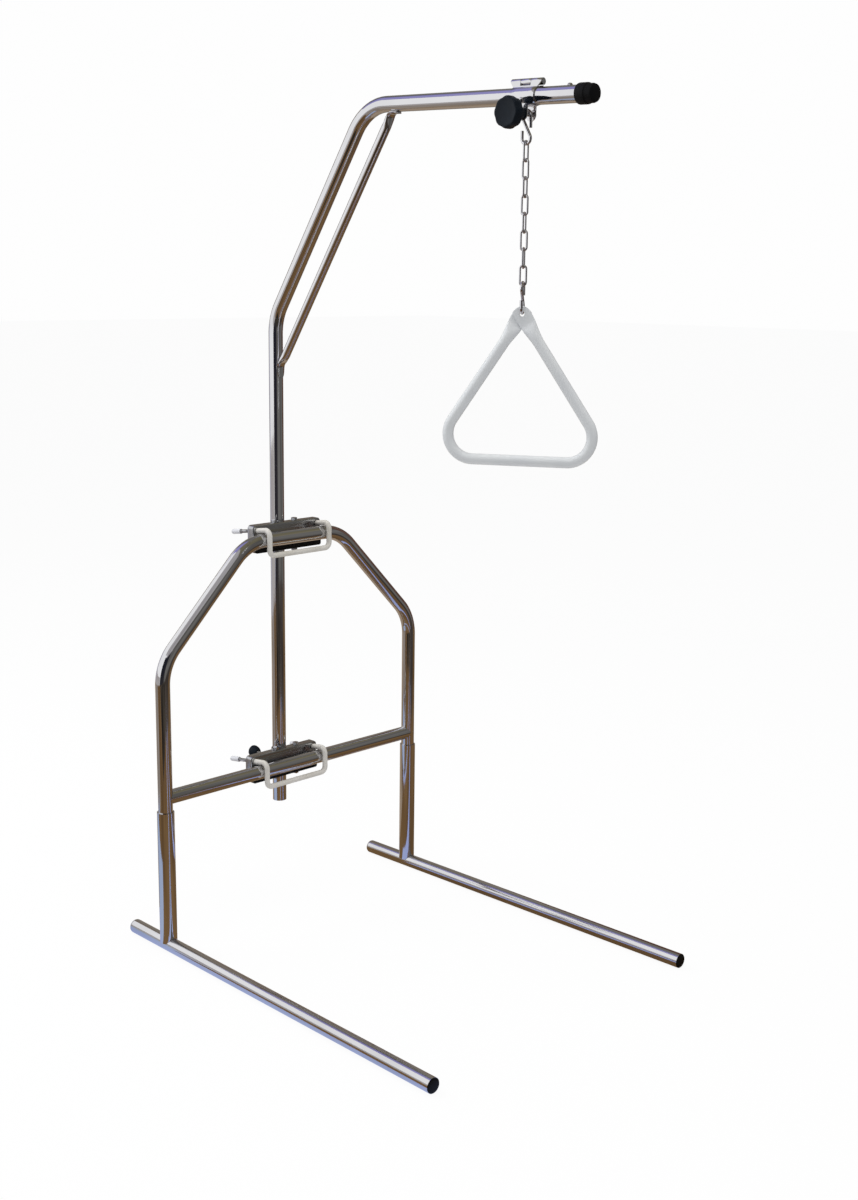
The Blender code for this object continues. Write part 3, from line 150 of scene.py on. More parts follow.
forward = Vector((-math.sin(CAMERA_YAW) * math.cos(CAMERA_PITCH),
                  math.cos(CAMERA_YAW) * math.cos(CAMERA_PITCH), math.sin(CAMERA_PITCH)))
level = forward.cross(Vector((0, 0, 1))).normalized()
upright = level.cross(forward)
right = math.cos(CAMERA_ROLL) * level + math.sin(CAMERA_ROLL) * upright
up = math.cos(CAMERA_ROLL) * upright - math.sin(CAMERA_ROLL) * level
camera_turn = Matrix((right, up, -forward)).transposed().to_4x4()
lens = bpy.data.cameras.new("studio_camera")
lens.sensor_fit = "VERTICAL"
lens.sensor_height = SENSOR_HEIGHT
lens.lens = SENSOR_HEIGHT * FOCAL_PIXELS / FRAME_HEIGHT
lens.clip_end = 60.0
camera = in_scene("studio_camera", lens)
camera.matrix_world = STAND @ Matrix.Translation(CAMERA_PLACE) @ camera_turn
bpy.context.scene.camera = camera
print("lens", round(lens.lens, 2), "mm")

# %% [markdown]
# Shader maths reads best as ordinary expressions. A small class wraps one output of a node, and
# each operator on it adds a Math node. A second class adds any other node: it sets the node's
# options first and then its inputs. A third one holds a whole material.


# %% Classes for shader expressions
class Signal:
    """One output of a shader node, on which ordinary operators add Math nodes."""

    def __init__(self, tree, socket):
        self.tree = tree
        self.socket = socket

    def maths(self, operation, other):
        return self.tree.add("ShaderNodeMath", {0: self, 1: other}, operation=operation)

    def __add__(self, other):
        return self.maths("ADD", other)

    def __mul__(self, other):
        return self.maths("MULTIPLY", other)

    __radd__ = __add__
    __rmul__ = __mul__

    def ramp(self, low, high):
        """0 below low, 1 above high, and a smooth step between."""
        return self.tree.add("ShaderNodeMapRange", {0: self, 1: low, 2: high}, interpolation_type="SMOOTHSTEP")


class Tree:
    """A node tree with one method that adds any node."""

    def __init__(self, tree):
        self.tree = tree

    def add(self, kind, inputs=None, output=0, **settings):
        node = self.tree.nodes.new(kind)
        for name, value in settings.items():
            setattr(node, name, value)
        for key, value in (inputs or {}).items():
            self.feed(node.inputs[key], value)
        return Signal(self, node.outputs[output])

    def feed(self, socket, value):
        """Link a signal to a socket, or set the socket's value. Colours are given without alpha."""
        if isinstance(value, Signal):
            self.tree.links.new(value.socket, socket)
        else:
            socket.default_value = (*value, 1.0) if socket.type == "RGBA" else value

    def mix(self, share, first, second):
        """Mix of two colours."""
        return self.add("ShaderNodeMix", {0: share, 6: first, 7: second}, output=2, data_type="RGBA")


class Finish(Tree):
    """A Principled material whose looks vary over the piece."""

    def __init__(self, name, colour, roughness, metallic=0.0, coat=0.0):
        self.material = bpy.data.materials.new(name)
        self.material.use_nodes = True
        super().__init__(self.material.node_tree)
        self.shader = self.tree.nodes["Principled BSDF"]
        self.vary({"Base Color": colour, "Roughness": roughness, "Metallic": metallic, "Coat Weight": coat})
        self.where = self.add("ShaderNodeTexCoord", output="Object")

    def vary(self, values):
        for name, value in values.items():
            self.feed(self.shader.inputs[name], value)

    def noise(self, scale, detail=3.0, stretch=None):
        where = self.where
        if stretch:
            where = self.add("ShaderNodeMapping", {"Vector": where, "Scale": stretch})
        return self.add("ShaderNodeTexNoise", {"Vector": where, "Scale": scale, "Detail": detail})

    def bump(self, height, strength, distance):
        values = {"Height": height, "Strength": strength, "Distance": distance}
        self.vary({"Normal": self.add("ShaderNodeBump", values)})

    def surface(self, shown):
        """Show another shader than the Principled one."""
        self.feed(self.tree.nodes["Material Output"].inputs["Surface"], shown)


def shaded(colour, share):
    """A darker tone of a colour."""
    return tuple(channel * share for channel in colour)


print("shader tools ready")

# %% [markdown]
# Chrome plate is almost a mirror. What keeps it from looking like a drawing is small: faint
# wipe marks that soften the reflection here and there, fine scratches from handling, and a
# very slight waviness of the drawn tube under the plating. The colour stays nearly even, so the
# detail goes into roughness and a weak bump.


# %% Chrome and other plated steel
def plated(name, colour, roughness, haze, wave):
    """Plated steel with wiped haze, fine scratches and a slight waviness."""
    skin = Finish(name, colour, roughness, metallic=1.0)
    cloud = skin.noise(14.0, 4.0).ramp(0.4, 0.75)
    grain = skin.noise(260.0, 2.0)
    scratch = skin.noise(90.0, stretch=(1.0, 1.0, 9.0)).ramp(0.66, 0.74)
    stain = skin.noise(6.0, 5.0).ramp(0.45, 0.8)
    skin.vary({"Roughness": roughness + haze * cloud + 0.08 * scratch + 0.02 * grain,
               "Base Color": skin.mix(stain, colour, shaded(colour, 0.86))})
    skin.bump(skin.noise(11.0, 2.0) + 0.02 * grain, wave, 0.002)
    return skin.material


CHROME = plated("bright_chrome_plate", (0.74, 0.74, 0.76), roughness=0.06, haze=0.05, wave=0.02)
LEG_CHROME = plated("handled_chrome_plate", (0.72, 0.72, 0.74), roughness=0.10, haze=0.06, wave=0.015)
PLATE = plated("pressed_steel_plate", (0.54, 0.55, 0.57), roughness=0.20, haze=0.12, wave=0.04)
ZINC = plated("zinc_plated_hardware", (0.62, 0.63, 0.66), roughness=0.17, haze=0.12, wave=0.08)
CHAIN = plated("bright_chain_wire", (0.88, 0.88, 0.92), roughness=0.07, haze=0.05, wave=0.03)
print("plated finishes ready")

# %% [markdown]
# The U-bolts are dipped in a soft white plastic, which has a slightly lumpy skin and goes a
# little yellow where it is handled. The handle is covered in smooth glossy enamel, so it gets a
# clear coat and only a trace of unevenness.


# %% White coatings
def coated(name, colour, shade, roughness, coat, lumps, lump_scale, wear):
    """White coating with a slow drift of tone and a soft uneven skin."""
    skin = Finish(name, colour, roughness, coat=coat)
    drift = skin.noise(16.0, 4.0).ramp(0.35, 0.75)
    scuff = skin.noise(40.0, 5.0).ramp(0.62, 0.82)
    tint = skin.mix(drift, colour, shade)
    skin.vary({"Coat Roughness": 0.18, "Base Color": skin.mix(scuff * wear, tint, shaded(shade, 0.62)),
               "Roughness": roughness + 0.08 * drift + 0.4 * wear * scuff})
    skin.bump(skin.noise(lump_scale, 2.0), lumps, 0.001)
    return skin.material


DIPPED = coated("white_dip_coating", (0.66, 0.64, 0.60), (0.56, 0.53, 0.47),
                roughness=0.34, coat=0.10, lumps=0.18, lump_scale=90.0, wear=0.25)
ENAMEL = coated("white_handle_enamel", (0.70, 0.72, 0.73), (0.66, 0.68, 0.70),
                roughness=0.28, coat=0.20, lumps=0.04, lump_scale=24.0, wear=0.03)
TIP_WHITE = coated("white_tip_plastic", (0.70, 0.71, 0.74), (0.60, 0.60, 0.64),
                   roughness=0.35, coat=0.1, lumps=0.2, lump_scale=120.0, wear=0.15)
print("white coatings ready")

# %% [markdown]
# Black rubber and black plastic differ in gloss. The rubber caps are dull, with a fine tooth and
# grey dust in it. The knobs are moulded plastic with a satin sheen. Their black is tinted blue and has
# lighter bluish blotches, which are a painted sheen.


# %% Black rubber and plastic
def black(name, colour, dust_and_sheen, roughness, tooth, tooth_scale):
    """Black moulding with a fine tooth and blotches of a second colour: grey dust on the rubber, painted bluish
    sheen on the knobs.
    """
    skin = Finish(name, colour, roughness)
    # The blotches mix in the second colour: real grey dust on the rubber, and a painted bluish sheen on the
    # knobs
    bloom_of_dust_and_sheen = skin.noise(45.0, 5.0).ramp(0.45, 0.85)
    grain = skin.noise(tooth_scale)
    skin.vary({"Specular IOR Level": 0.16, "Base Color": skin.mix(bloom_of_dust_and_sheen * 0.6, colour, dust_and_sheen),
               "Roughness": roughness + 0.15 * bloom_of_dust_and_sheen + 0.08 * grain})
    skin.bump(grain, tooth, 0.0006)
    return skin.material


RUBBER = black("black_rubber", (0.004, 0.004, 0.005), (0.011, 0.010, 0.010),
               roughness=0.50, tooth=0.16, tooth_scale=700.0)
# The knob's blue tint and its lighter bluish blotches are a painted sheen, not the plastic's own colour
KNOB_PLASTIC_PAINTED_SHEEN = black("black_knob_plastic", (0.005, 0.008, 0.013), (0.011, 0.017, 0.025),
                     roughness=0.34, tooth=0.05, tooth_scale=900.0)
print("black finishes ready")

# %% [markdown]
# Most pieces are one of a few kinds of shape: a tube or wire along a path, a turned profile, a
# loft through changing sections, a bent sheet or a flat plate. Each kind gets one helper. Every
# shape goes to one function at last, which moves the place into the mesh, sets the finish and
# ties the piece to its body and to the solid that it stands for.

# %% Placing a piece
WELD = 1e-6


def at(x=0.0, y=0.0, z=0.0):
    """Matrix that moves to a point."""
    return Matrix.Translation((x, y, z))


def along(direction, origin=(0, 0, 0)):
    """Matrix that turns local +Z to a direction and moves to an origin."""
    turn = Vector(direction).to_track_quat("Z", "Y").to_matrix().to_4x4()
    return Matrix.Translation(Vector(origin)) @ turn


def body_with(node):
    """The body that holds a node."""
    bodies = frame["record"]["behaviour"]["bodies"]
    return next(name for name, nodes in bodies.items() if node in nodes)


def baked(item):
    """The mesh of an object with its modifiers applied."""
    bpy.context.view_layer.update()
    graph = bpy.context.evaluated_depsgraph_get()
    return bpy.data.meshes.new_from_object(item.evaluated_get(graph))


def settle(item, node, material, place, sharp=32.0):
    """Bake modifiers and place, shade smooth, and tie the piece to its body and its solid."""
    mesh = baked(item)
    bpy.data.objects.remove(item)
    bm = bmesh.new()
    bm.from_mesh(mesh)
    bmesh.ops.remove_doubles(bm, verts=bm.verts, dist=2 * WELD)
    bmesh.ops.recalc_face_normals(bm, faces=bm.faces)
    bm.transform(STAND @ place)
    bm.to_mesh(mesh)
    bm.free()
    mesh.materials.clear()
    mesh.materials.append(material)
    mesh.shade_smooth()
    mesh.set_sharp_from_angle(angle=math.radians(sharp))
    piece = in_scene(f"{node}_skin", mesh)
    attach(piece, body_with(node))
    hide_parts(node)
    return piece


def from_bmesh(bm):
    """A temporary object from a bmesh with its faces turned outwards."""
    bmesh.ops.recalc_face_normals(bm, faces=bm.faces)
    mesh = bpy.data.meshes.new("in_the_making")
    bm.to_mesh(mesh)
    bm.free()
    return in_scene("in_the_making", mesh)


def modified(item, kind, **settings):
    """The object with one more modifier."""
    step = item.modifiers.new(kind.lower(), kind)
    for name, value in settings.items():
        setattr(step, name, value)
    return item


def cut(item, tool, operation="DIFFERENCE"):
    """Cut away another object, which is used up, or keep only what both share."""
    mesh = baked(modified(item, "BOOLEAN", operation=operation, solver="EXACT", object=tool))
    item.modifiers.clear()
    item.data = mesh
    bpy.data.objects.remove(tool)
    return item


def thicken(item, wall, offset=-1.0):
    """Give an open surface its wall."""
    return modified(item, "SOLIDIFY", thickness=wall, offset=offset, use_even_offset=True)


def soften(item, width, segments=2, angle=40.0):
    """Round the sharp edges a little, so that they catch the light."""
    limit = math.radians(angle)
    return modified(item, "BEVEL", width=width, segments=segments, limit_method="ANGLE", angle_limit=limit)


def joined(items):
    """One temporary object from several that stay separate shells."""
    bm = bmesh.new()
    for item in items:
        bm.from_mesh(baked(item))
        bpy.data.objects.remove(item)
    return from_bmesh(bm)


def moved(item, matrix):
    """Move the mesh of a temporary object."""
    item.data.transform(matrix)
    return item


# %% Paths
def arc(centre, start, end, steps, size):
    """Points on an arc, both ends included."""
    angles = [start + (end - start) * i / steps for i in range(steps + 1)]
    return [(centre[0] + size * math.cos(angle), centre[1] + size * math.sin(angle)) for angle in angles]


def rounded_path(corners, bend_radius, steps):
    """Polyline through corners with each inner corner replaced by a tangent arc."""
    points = [Vector(corners[0])]
    for before, corner, after in zip(corners, corners[1:], corners[2:]):
        corner = Vector(corner)
        inward = (corner - Vector(before)).normalized()
        outward = (Vector(after) - corner).normalized()
        turn = inward.angle(outward)
        centre = corner + (outward - inward).normalized() * (bend_radius / math.cos(turn / 2))
        axis = inward.cross(outward).normalized()
        spoke = corner - inward * (bend_radius * math.tan(turn / 2)) - centre
        points += [centre + Matrix.Rotation(turn * i / steps, 3, axis) @ spoke for i in range(steps + 1)]
    points.append(Vector(corners[-1]))
    return points


def eased(path, reaches, shares):
    """Path with more points near both ends, and the shares of the radius that round them."""
    ends = []
    for tip, inner in ((path[0], path[1]), (path[-1], path[-2])):
        way = (inner - tip).normalized()
        ends.append([tip + way * reach for reach in reaches])
    return ends[0] + path[1:-1] + ends[1][::-1], shares + [1.0] * (len(path) - 2) + shares[::-1]


# %% [markdown]
# Tubes, rods and wires are all a circle carried along a path, which is exactly what Curve to
# Mesh does. One Geometry Nodes tree serves them all. Its named inputs are the radius, the number
# of sides and whether the ends are closed. A radius stored on the path's points rounds the ends
# of a rod.


# %% A node tree that sweeps a circle along a path
def sweep_tree():
    """Geometry Nodes: path in, swept circle out."""
    tree = bpy.data.node_groups.new("sweep_circle", "GeometryNodeTree")
    for name, way, kind in (("Path", "INPUT", "Geometry"), ("Radius", "INPUT", "Float"),
                            ("Sides", "INPUT", "Int"), ("Caps", "INPUT", "Bool"),
                            ("Surface", "OUTPUT", "Geometry")):
        tree.interface.new_socket(name, in_out=way, socket_type=f"NodeSocket{kind}")
    start, end, circle, sweep = (tree.nodes.new(kind) for kind in (
        "NodeGroupInput", "NodeGroupOutput", "GeometryNodeCurvePrimitiveCircle", "GeometryNodeCurveToMesh"))
    for source, output, target, socket in (
            (start, "Sides", circle, "Resolution"), (start, "Radius", circle, "Radius"),
            (start, "Path", sweep, "Curve"), (circle, "Curve", sweep, "Profile Curve"),
            (start, "Caps", sweep, "Fill Caps"), (sweep, "Mesh", end, "Surface")):
        tree.links.new(source.outputs[output], target.inputs[socket])
    return tree


SWEEP = sweep_tree()
SWEEP_INPUTS = {item.name: item.identifier for item in SWEEP.interface.items_tree if item.in_out == "INPUT"}


def swept(points, diameter, sides=48, caps=True, cyclic=False, scales=None):
    """A plain mesh object made by the sweep tree."""
    curve = bpy.data.curves.new("path", "CURVE")
    curve.dimensions = "3D"
    spline = curve.splines.new("POLY")
    spline.points.add(len(points) - 1)
    for knot, point, scale in zip(spline.points, points, scales or [1.0] * len(points)):
        knot.co = (*point, 1.0)
        knot.radius = scale
    spline.use_cyclic_u = cyclic
    item = in_scene("in_the_making", curve)
    step = item.modifiers.new("sweep", "NODES")
    step.node_group = SWEEP
    for name, value in (("Radius", diameter / 2), ("Sides", sides), ("Caps", caps)):
        step[SWEEP_INPUTS[name]] = value
    bm = bmesh.new()
    bm.from_mesh(baked(item))
    bpy.data.objects.remove(item)
    bmesh.ops.remove_doubles(bm, verts=bm.verts, dist=WELD)
    return from_bmesh(bm)


print("sweep inputs", sorted(SWEEP_INPUTS))


# %% Turned, lofted, bent and flat shapes
def turned(profile, sides=64):
    """Turned solid around +Z from (radius, height) points, outer side from the top down."""
    bm = bmesh.new()
    verts = [bm.verts.new((r, 0, z)) for r, z in profile]
    edges = [bm.edges.new(pair) for pair in zip(verts, verts[1:])]
    if profile[0][0] > 0:
        edges.append(bm.edges.new((verts[-1], verts[0])))
    bmesh.ops.spin(bm, geom=verts + edges, axis=(0, 0, 1), cent=(0, 0, 0), steps=sides, angle=2 * math.pi)
    bmesh.ops.remove_doubles(bm, verts=bm.verts, dist=WELD)
    return from_bmesh(bm)


def loft(rings):
    """Closed skin through rings of points that all have the same count."""
    bm = bmesh.new()
    made = [[bm.verts.new(p) for p in ring] for ring in rings]
    for low, high in zip(made, made[1:]):
        for i in range(len(low)):
            j = (i + 1) % len(low)
            bm.faces.new((low[i], low[j], high[j], high[i]))
    bm.faces.new(made[0])
    bm.faces.new(made[-1])
    return from_bmesh(bm)


def bent_sheet(rows, thickness, across=1):
    """Sheet through rows of points, with its thickness centred on them."""
    bm = bmesh.new()
    made = []
    for first, last in rows:
        first, last = Vector(first), Vector(last)
        made.append([bm.verts.new(first.lerp(last, i / across)) for i in range(across + 1)])
    for low, high in zip(made, made[1:]):
        for i in range(across):
            bm.faces.new((low[i], low[i + 1], high[i + 1], high[i]))
    return thicken(from_bmesh(bm), thickness, 0.0)


def plate(outline, thickness):
    """Flat plate in local XY, centred on z = 0."""
    bm = bmesh.new()
    face = bm.faces.new([bm.verts.new((x, y, -thickness / 2)) for x, y in outline])
    grown = bmesh.ops.extrude_face_region(bm, geom=[face])
    raised = [item for item in grown["geom"] if isinstance(item, bmesh.types.BMVert)]
    bmesh.ops.translate(bm, verts=raised, vec=(0, 0, thickness))
    return from_bmesh(bm)


def box(size, centre):
    """A bmesh with one box in it."""
    bm = bmesh.new()
    bmesh.ops.create_cube(bm, size=1.0)
    bmesh.ops.scale(bm, vec=size, verts=bm.verts)
    bmesh.ops.translate(bm, verts=bm.verts, vec=centre)
    return bm


def cylinder(diameter, length, place=Matrix(), sides=32):
    """Closed cylinder around +Z, centred."""
    bm = bmesh.new()
    size = diameter / 2
    bmesh.ops.create_cone(bm, cap_ends=True, segments=sides, radius1=size, radius2=size, depth=length)
    bm.transform(place)
    return from_bmesh(bm)


def hexagon(height):
    """Hexagon head or nut with its corners turned down."""
    half = HEX_ACROSS / 2
    cone = turned([(0, height), (half * 0.98, height), (half * 1.16, height - 0.0009),
                   (half * 1.16, 0.0006), (half * 1.04, 0), (0, 0)], 48)
    block = cylinder(HEX_ACROSS / math.cos(math.pi / 6), height * 1.5, at(z=height / 2), 6)
    return cut(block, cone, "INTERSECT")


print("shape helpers ready")

# %% [markdown]
# A real screw thread is a groove that climbs as it goes round. The outline of one tooth is
# carried round the axis and lifted by one pitch in each turn. The ends are closed, although nuts
# and tips hide them.


# %% Screw threads
def threaded(length, start=0.0, steps=24):
    """Threaded rod around +Z from a start height."""
    outer = THREAD / 2
    inner = outer - PITCH * 0.5
    turns = int(length / PITCH) - 1
    bm = bmesh.new()
    rings = []
    for i in range(turns * steps + 1):
        angle = 2 * math.pi * i / steps
        lift = start + PITCH * i / steps
        tooth = [(inner, lift), (outer, lift + PITCH * 0.38), (outer, lift + PITCH * 0.62)]
        rings.append([bm.verts.new((r * math.cos(angle), r * math.sin(angle), z)) for r, z in tooth])
    for i, (a, b) in enumerate(zip(rings, rings[1:])):
        for j in range(2):
            bm.faces.new((a[j], b[j], b[j + 1], a[j + 1]))
        if i + steps < len(rings) - 1:
            bm.faces.new((a[2], b[2], rings[i + steps + 1][0], rings[i + steps][0]))
    bmesh.ops.holes_fill(bm, edges=[e for e in bm.edges if e.is_boundary], sides=0)
    return from_bmesh(bm)


print("thread helper ready")

# %% [markdown]
# The floor tubes lie flat on the floor and splay out by one degree. Each is a straight tube with
# a black plug in its front end and a domed chrome cap in its rear end. The upright sockets are
# notched to sit on them.

# %% Floor tubes, plugs, caps and sockets
rim = LEG_AXIS_Z
bore = rim - WALL - SEAT
stem = [(bore, 0), (bore, -0.020), (bore - 0.0015, -0.022), (0, -0.022)]
plug = [(0, 0.0030), (rim * 0.55, 0.0028), (rim - 0.0030, 0.0020), (rim - 0.0012, 0.0011),
        (rim - 0.0004, 0.0002), (rim - 0.0003, 0)] + stem
DOME_HEIGHT = 0.009
dome = [(rim * math.sin(a), DOME_HEIGHT * math.cos(a)) for a in (i * math.pi / 24 for i in range(13))] + stem
socket_points = [(0, 0, LEG_AXIS_Z + 0.006), (0, 0, 0.12), (0, 0, SOCKET_TOP - 0.0012), (0, 0, SOCKET_TOP)]
for side, sign in SIDES.items():
    socket_place = at(y=sign * LEG_SPACING / 2)
    leg_place = socket_place @ at(z=LEG_AXIS_Z) @ Matrix.Rotation(sign * LEG_TOE_OUT, 4, "Z")
    tube = swept([(x, 0, 0) for x in (-LEG_BACKWARD, 0.2, 0.5, LEG_FORWARD)], 2 * LEG_AXIS_Z, caps=False)
    settle(thicken(tube, WALL), f"floor_leg_{side}", LEG_CHROME, leg_place)
    front = along((1, 0, 0), (LEG_FORWARD + SEAT, 0, 0))
    settle(turned(plug), f"leg_plug_{side}", RUBBER, leg_place @ front)
    rear = along((-1, 0, 0), (-LEG_BACKWARD - SEAT, 0, 0))
    settle(turned(dome), f"leg_cap_{side}", LEG_CHROME, leg_place @ rear)
    socket = swept(socket_points, SOCKET, caps=False, scales=[1, 1, 1, 0.985])
    thicken(socket, (SOCKET - TUBE) / 2 - 0.0005)
    cut(socket, cylinder(TUBE + 2 * SEAT, 0.2, at(z=LEG_AXIS_Z) @ along((1, 0, 0)), 96))
    settle(socket, f"leg_socket_{side}", CHROME, socket_place)
print("floor frame dressed")

# %% [markdown]
# The arch is one long tube with four wide bends. It stands inside the sockets, and the crossbar is
# welded between its uprights, with its ends shaped to fit them.

# %% Arch and crossbar
half = LEG_SPACING / 2
foot = 2 * LEG_AXIS_Z + SEAT
arch_half = [(half, foot), (half, SHOULDER_Z), (ARCH_TOP_HALF, ARCH_TOP_Z)]
arch_corners = [(0, -y, z) for y, z in arch_half] + [(0, y, z) for y, z in arch_half[::-1]]
arch = swept(rounded_path(arch_corners, BEND, 18), TUBE, caps=False)
settle(thicken(arch, WALL), "arch_frame", CHROME, at())
bar = swept([(0, y, 0) for y in (-half, -0.12, 0.12, half)], TUBE, caps=False)
thicken(bar, WALL)
for sign in SIDES.values():
    cut(bar, cylinder(TUBE + 2 * SEAT, 0.1, at(y=sign * half), 96))
settle(bar, "crossbar", CHROME, at(z=CROSSBAR_Z))
print("arch and crossbar dressed")

# %% [markdown]
# Each bracket is a shallow tray pressed from 3 mm steel, open towards the mast. A rubber strip
# keeps it off the frame tube. The corner radius and the rolled front edge are what make it
# look pressed and not cut from a block.

# %% Trays and pads
ROD_BACK = Vector((-math.cos(ROD_SLOPE), 0, -math.sin(ROD_SLOPE)))
WEB_DISTANCE = (ROD_X - WEB_FRONT) / math.cos(ROD_SLOPE)


def rod_point(y, distance):
    """Point on a U-bolt's sloped limb, at a distance back from its top corner."""
    return Vector((ROD_X, y, ROD_TOP)) + distance * ROD_BACK


def build_tray(name, shift, place):
    """Pressed tray with its holes, and the rubber strip in front of it."""
    bm = box((TRAY_DEPTH, TRAY_WIDTH, TRAY_HEIGHT), (WEB_FRONT - TRAY_DEPTH / 2, shift, 0))
    bmesh.ops.delete(bm, geom=[f for f in bm.faces if f.normal.x < -0.9], context="FACES_ONLY")
    corners = [e for e in bm.edges if abs(e.verts[0].co.x - e.verts[1].co.x) > TRAY_DEPTH / 2]
    bmesh.ops.bevel(bm, geom=corners, offset=TRAY_CORNER, segments=8, profile=0.5, affect="EDGES")
    front = [e for e in bm.edges
             if all(v.co.x > WEB_FRONT - 1e-5 for v in e.verts) and len(e.link_faces) == 2]
    bmesh.ops.bevel(bm, geom=front, offset=TRAY_SHEET, segments=6, profile=0.5, affect="EDGES")
    tray = thicken(from_bmesh(bm), TRAY_SHEET)
    for sign in SIDES.values():
        for hole in (at(BOLT_X, sign * BOLT_Y, TRAY_HEIGHT / 2), at(BOLT_X, sign * BOLT_Y, -TRAY_HEIGHT / 2),
                     along(ROD_BACK, rod_point(shift + sign * ROD_Y, WEB_DISTANCE))):
            cut(tray, cylinder(BOLT_HOLE, 0.04, hole))
    settle(soften(tray, 0.0006), f"{name}_bracket", PLATE, place)
    low, corner, width = -TRAY_HEIGHT / 2, TRAY_CORNER - TRAY_SHEET, TRAY_WIDTH - 2 * TRAY_SHEET
    outline = arc((width / 2 - corner, low + corner), -math.pi / 2, 0, 6, corner)
    outline += [(width / 2, PAD_TOP), (-width / 2, PAD_TOP)]
    outline += arc((-width / 2 + corner, low + corner), math.pi, 1.5 * math.pi, 6, corner)
    facing = Matrix(((0, 0, 1, 0), (1, 0, 0, 0), (0, 1, 0, 0), (0, 0, 0, 1)))
    pad = soften(plate(outline, PAD), 0.0008)
    settle(pad, f"{name}_pad", RUBBER, place @ at(WEB_FRONT + SEAT + PAD / 2, shift) @ facing)


for name, (height, shift) in LEVELS.items():
    build_tray(name, shift, at(z=height))
print("trays and pads dressed")

# %% [markdown]
# The U-bolts run down in front of the tube, across under it and up again, then back through the
# tray. The white dip ends just before the tray, and bare thread shows behind it, with a wing nut
# and a soft white tip.

# %% Wing nuts
NUT_BASE, NUT_NECK, NUT_LENGTH = 0.00775, 0.0056, 0.022
WING_SPAN, WING_RISE, WING_SHEET, WING_ROOT = 0.0155, 0.0155, 0.0030, 0.0052


def wing_nut_shape(turn):
    """Hub with a bore, two swept wings and rounded edges, as one object around +Z."""
    base, neck, length, span = NUT_BASE, NUT_NECK, NUT_LENGTH, WING_SPAN
    bore = THREAD / 2 + RUNNING
    hub = turned([(bore, length), (neck - 0.0005, length), (neck, length - 0.0006), (neck * 1.04, length * 0.5),
                  (base * 0.97, 0.005), (base, 0.004), (base, 0.0006), (base - 0.0006, 0), (bore, 0)], 40)
    clear = (WEB_BACK - TRAY_RIM) / math.cos(ROD_SLOPE) + (span - base) * math.tan(ROD_SLOPE) + RUNNING
    tip = clear + WING_RISE
    outline = [(WING_ROOT, clear - 0.007), (neck + 0.001, clear - 0.004), (span * 0.62, clear + 0.0005),
               (span * 0.86, clear + 0.005), (span, clear + 0.0105), (span + 0.0002, tip - 0.003),
               (span - 0.0012, tip - 0.0006), (span - 0.0034, tip), (span - 0.0056, tip - 0.0018),
               (neck + 0.003, length + 0.0035), (WING_ROOT, length - 0.001)]
    upright = Matrix(((1, 0, 0, 0), (0, 0, -1, 0), (0, 1, 0, 0), (0, 0, 0, 1)))
    shapes = [hub]
    for sign in (1, -1):
        wing = plate([(sign * x, z) for x, z in outline][::sign], WING_SHEET)
        shapes.append(moved(soften(wing, 0.0011, 3, 30), upright))
    return moved(joined(shapes), Matrix.Rotation(turn, 4, "Z"))


# %% U-bolts, threads and tips
WING_TURN = {"near": math.radians(8.0), "far": math.radians(24.0)}
TIP_END = {"near": 0.134, "far": 0.127}
TIP_WALL = 0.003
THREAD_ROOT = 0.001
TIP_PROFILE = [(0, 0), (0.0028, -0.0002), (0.0046, -0.0011), (0.0056, -0.0026), (0.0059, -0.0045),
               (0.0059, -0.0295), (0.0056, -0.031), (0.0043, -0.031), (0.0043, -TIP_WALL), (0, -TIP_WALL)]


def build_u_bolt(name, shift, place):
    """White coated U-bolt with bare threads, its wing nuts and its tips."""
    shoulder = WEB_DISTANCE - ROD / 2 * math.tan(ROD_SLOPE) - SEAT
    limbs = [(side, shift + sign * ROD_Y) for side, sign in SIDES.items()]
    near, far = ([rod_point(y, shoulder), rod_point(y, 0), Vector((ROD_X, y, ROD_FOOT))] for _, y in limbs)
    path = rounded_path(near + far[::-1], ROD_BEND, 12)
    points, scales = eased(path, (0.0, 0.0004, 0.0010, 0.0020), [0.55, 0.80, 0.93, 1.0])
    shapes = [swept(points, ROD, 32, scales=scales)]
    for side, y in limbs:
        length = TIP_END[side] - TIP_WALL - SEAT - shoulder
        root = along(ROD_BACK, rod_point(y, shoulder - THREAD_ROOT))
        shapes.append(moved(threaded(length + 2 * THREAD_ROOT), root))
    piece = settle(joined(shapes), f"{name}_u_bolt", DIPPED, place, 40.0)
    piece.data.materials.append(ZINC)
    limit = (STAND @ place @ rod_point(0, shoulder)).x - SEAT
    for face in piece.data.polygons:
        face.material_index = 1 if face.center.x < limit else 0
    seat = (ROD_X - WEB_BACK) / math.cos(ROD_SLOPE) + NUT_BASE * math.tan(ROD_SLOPE) + SEAT
    for side, y in limbs:
        nut_place = place @ along(ROD_BACK, rod_point(y, seat))
        settle(wing_nut_shape(WING_TURN[side]), f"{name}_wing_nut_{side}", ZINC, nut_place, 40.0)
        tip_place = place @ along(ROD_BACK, rod_point(y, TIP_END[side]))
        settle(turned(TIP_PROFILE, 40), f"{name}_thread_tip_{side}", TIP_WHITE, tip_place)


for name, (height, shift) in LEVELS.items():
    build_u_bolt(name, shift, at(z=height))
print("U-bolts dressed")

# %% [markdown]
# A strap goes round the back of the mast. Its ends are rolled into eyes on two upright bolts,
# which pass through the tray. On the lower bracket a screw with a black knob presses on the mast
# through the strap.


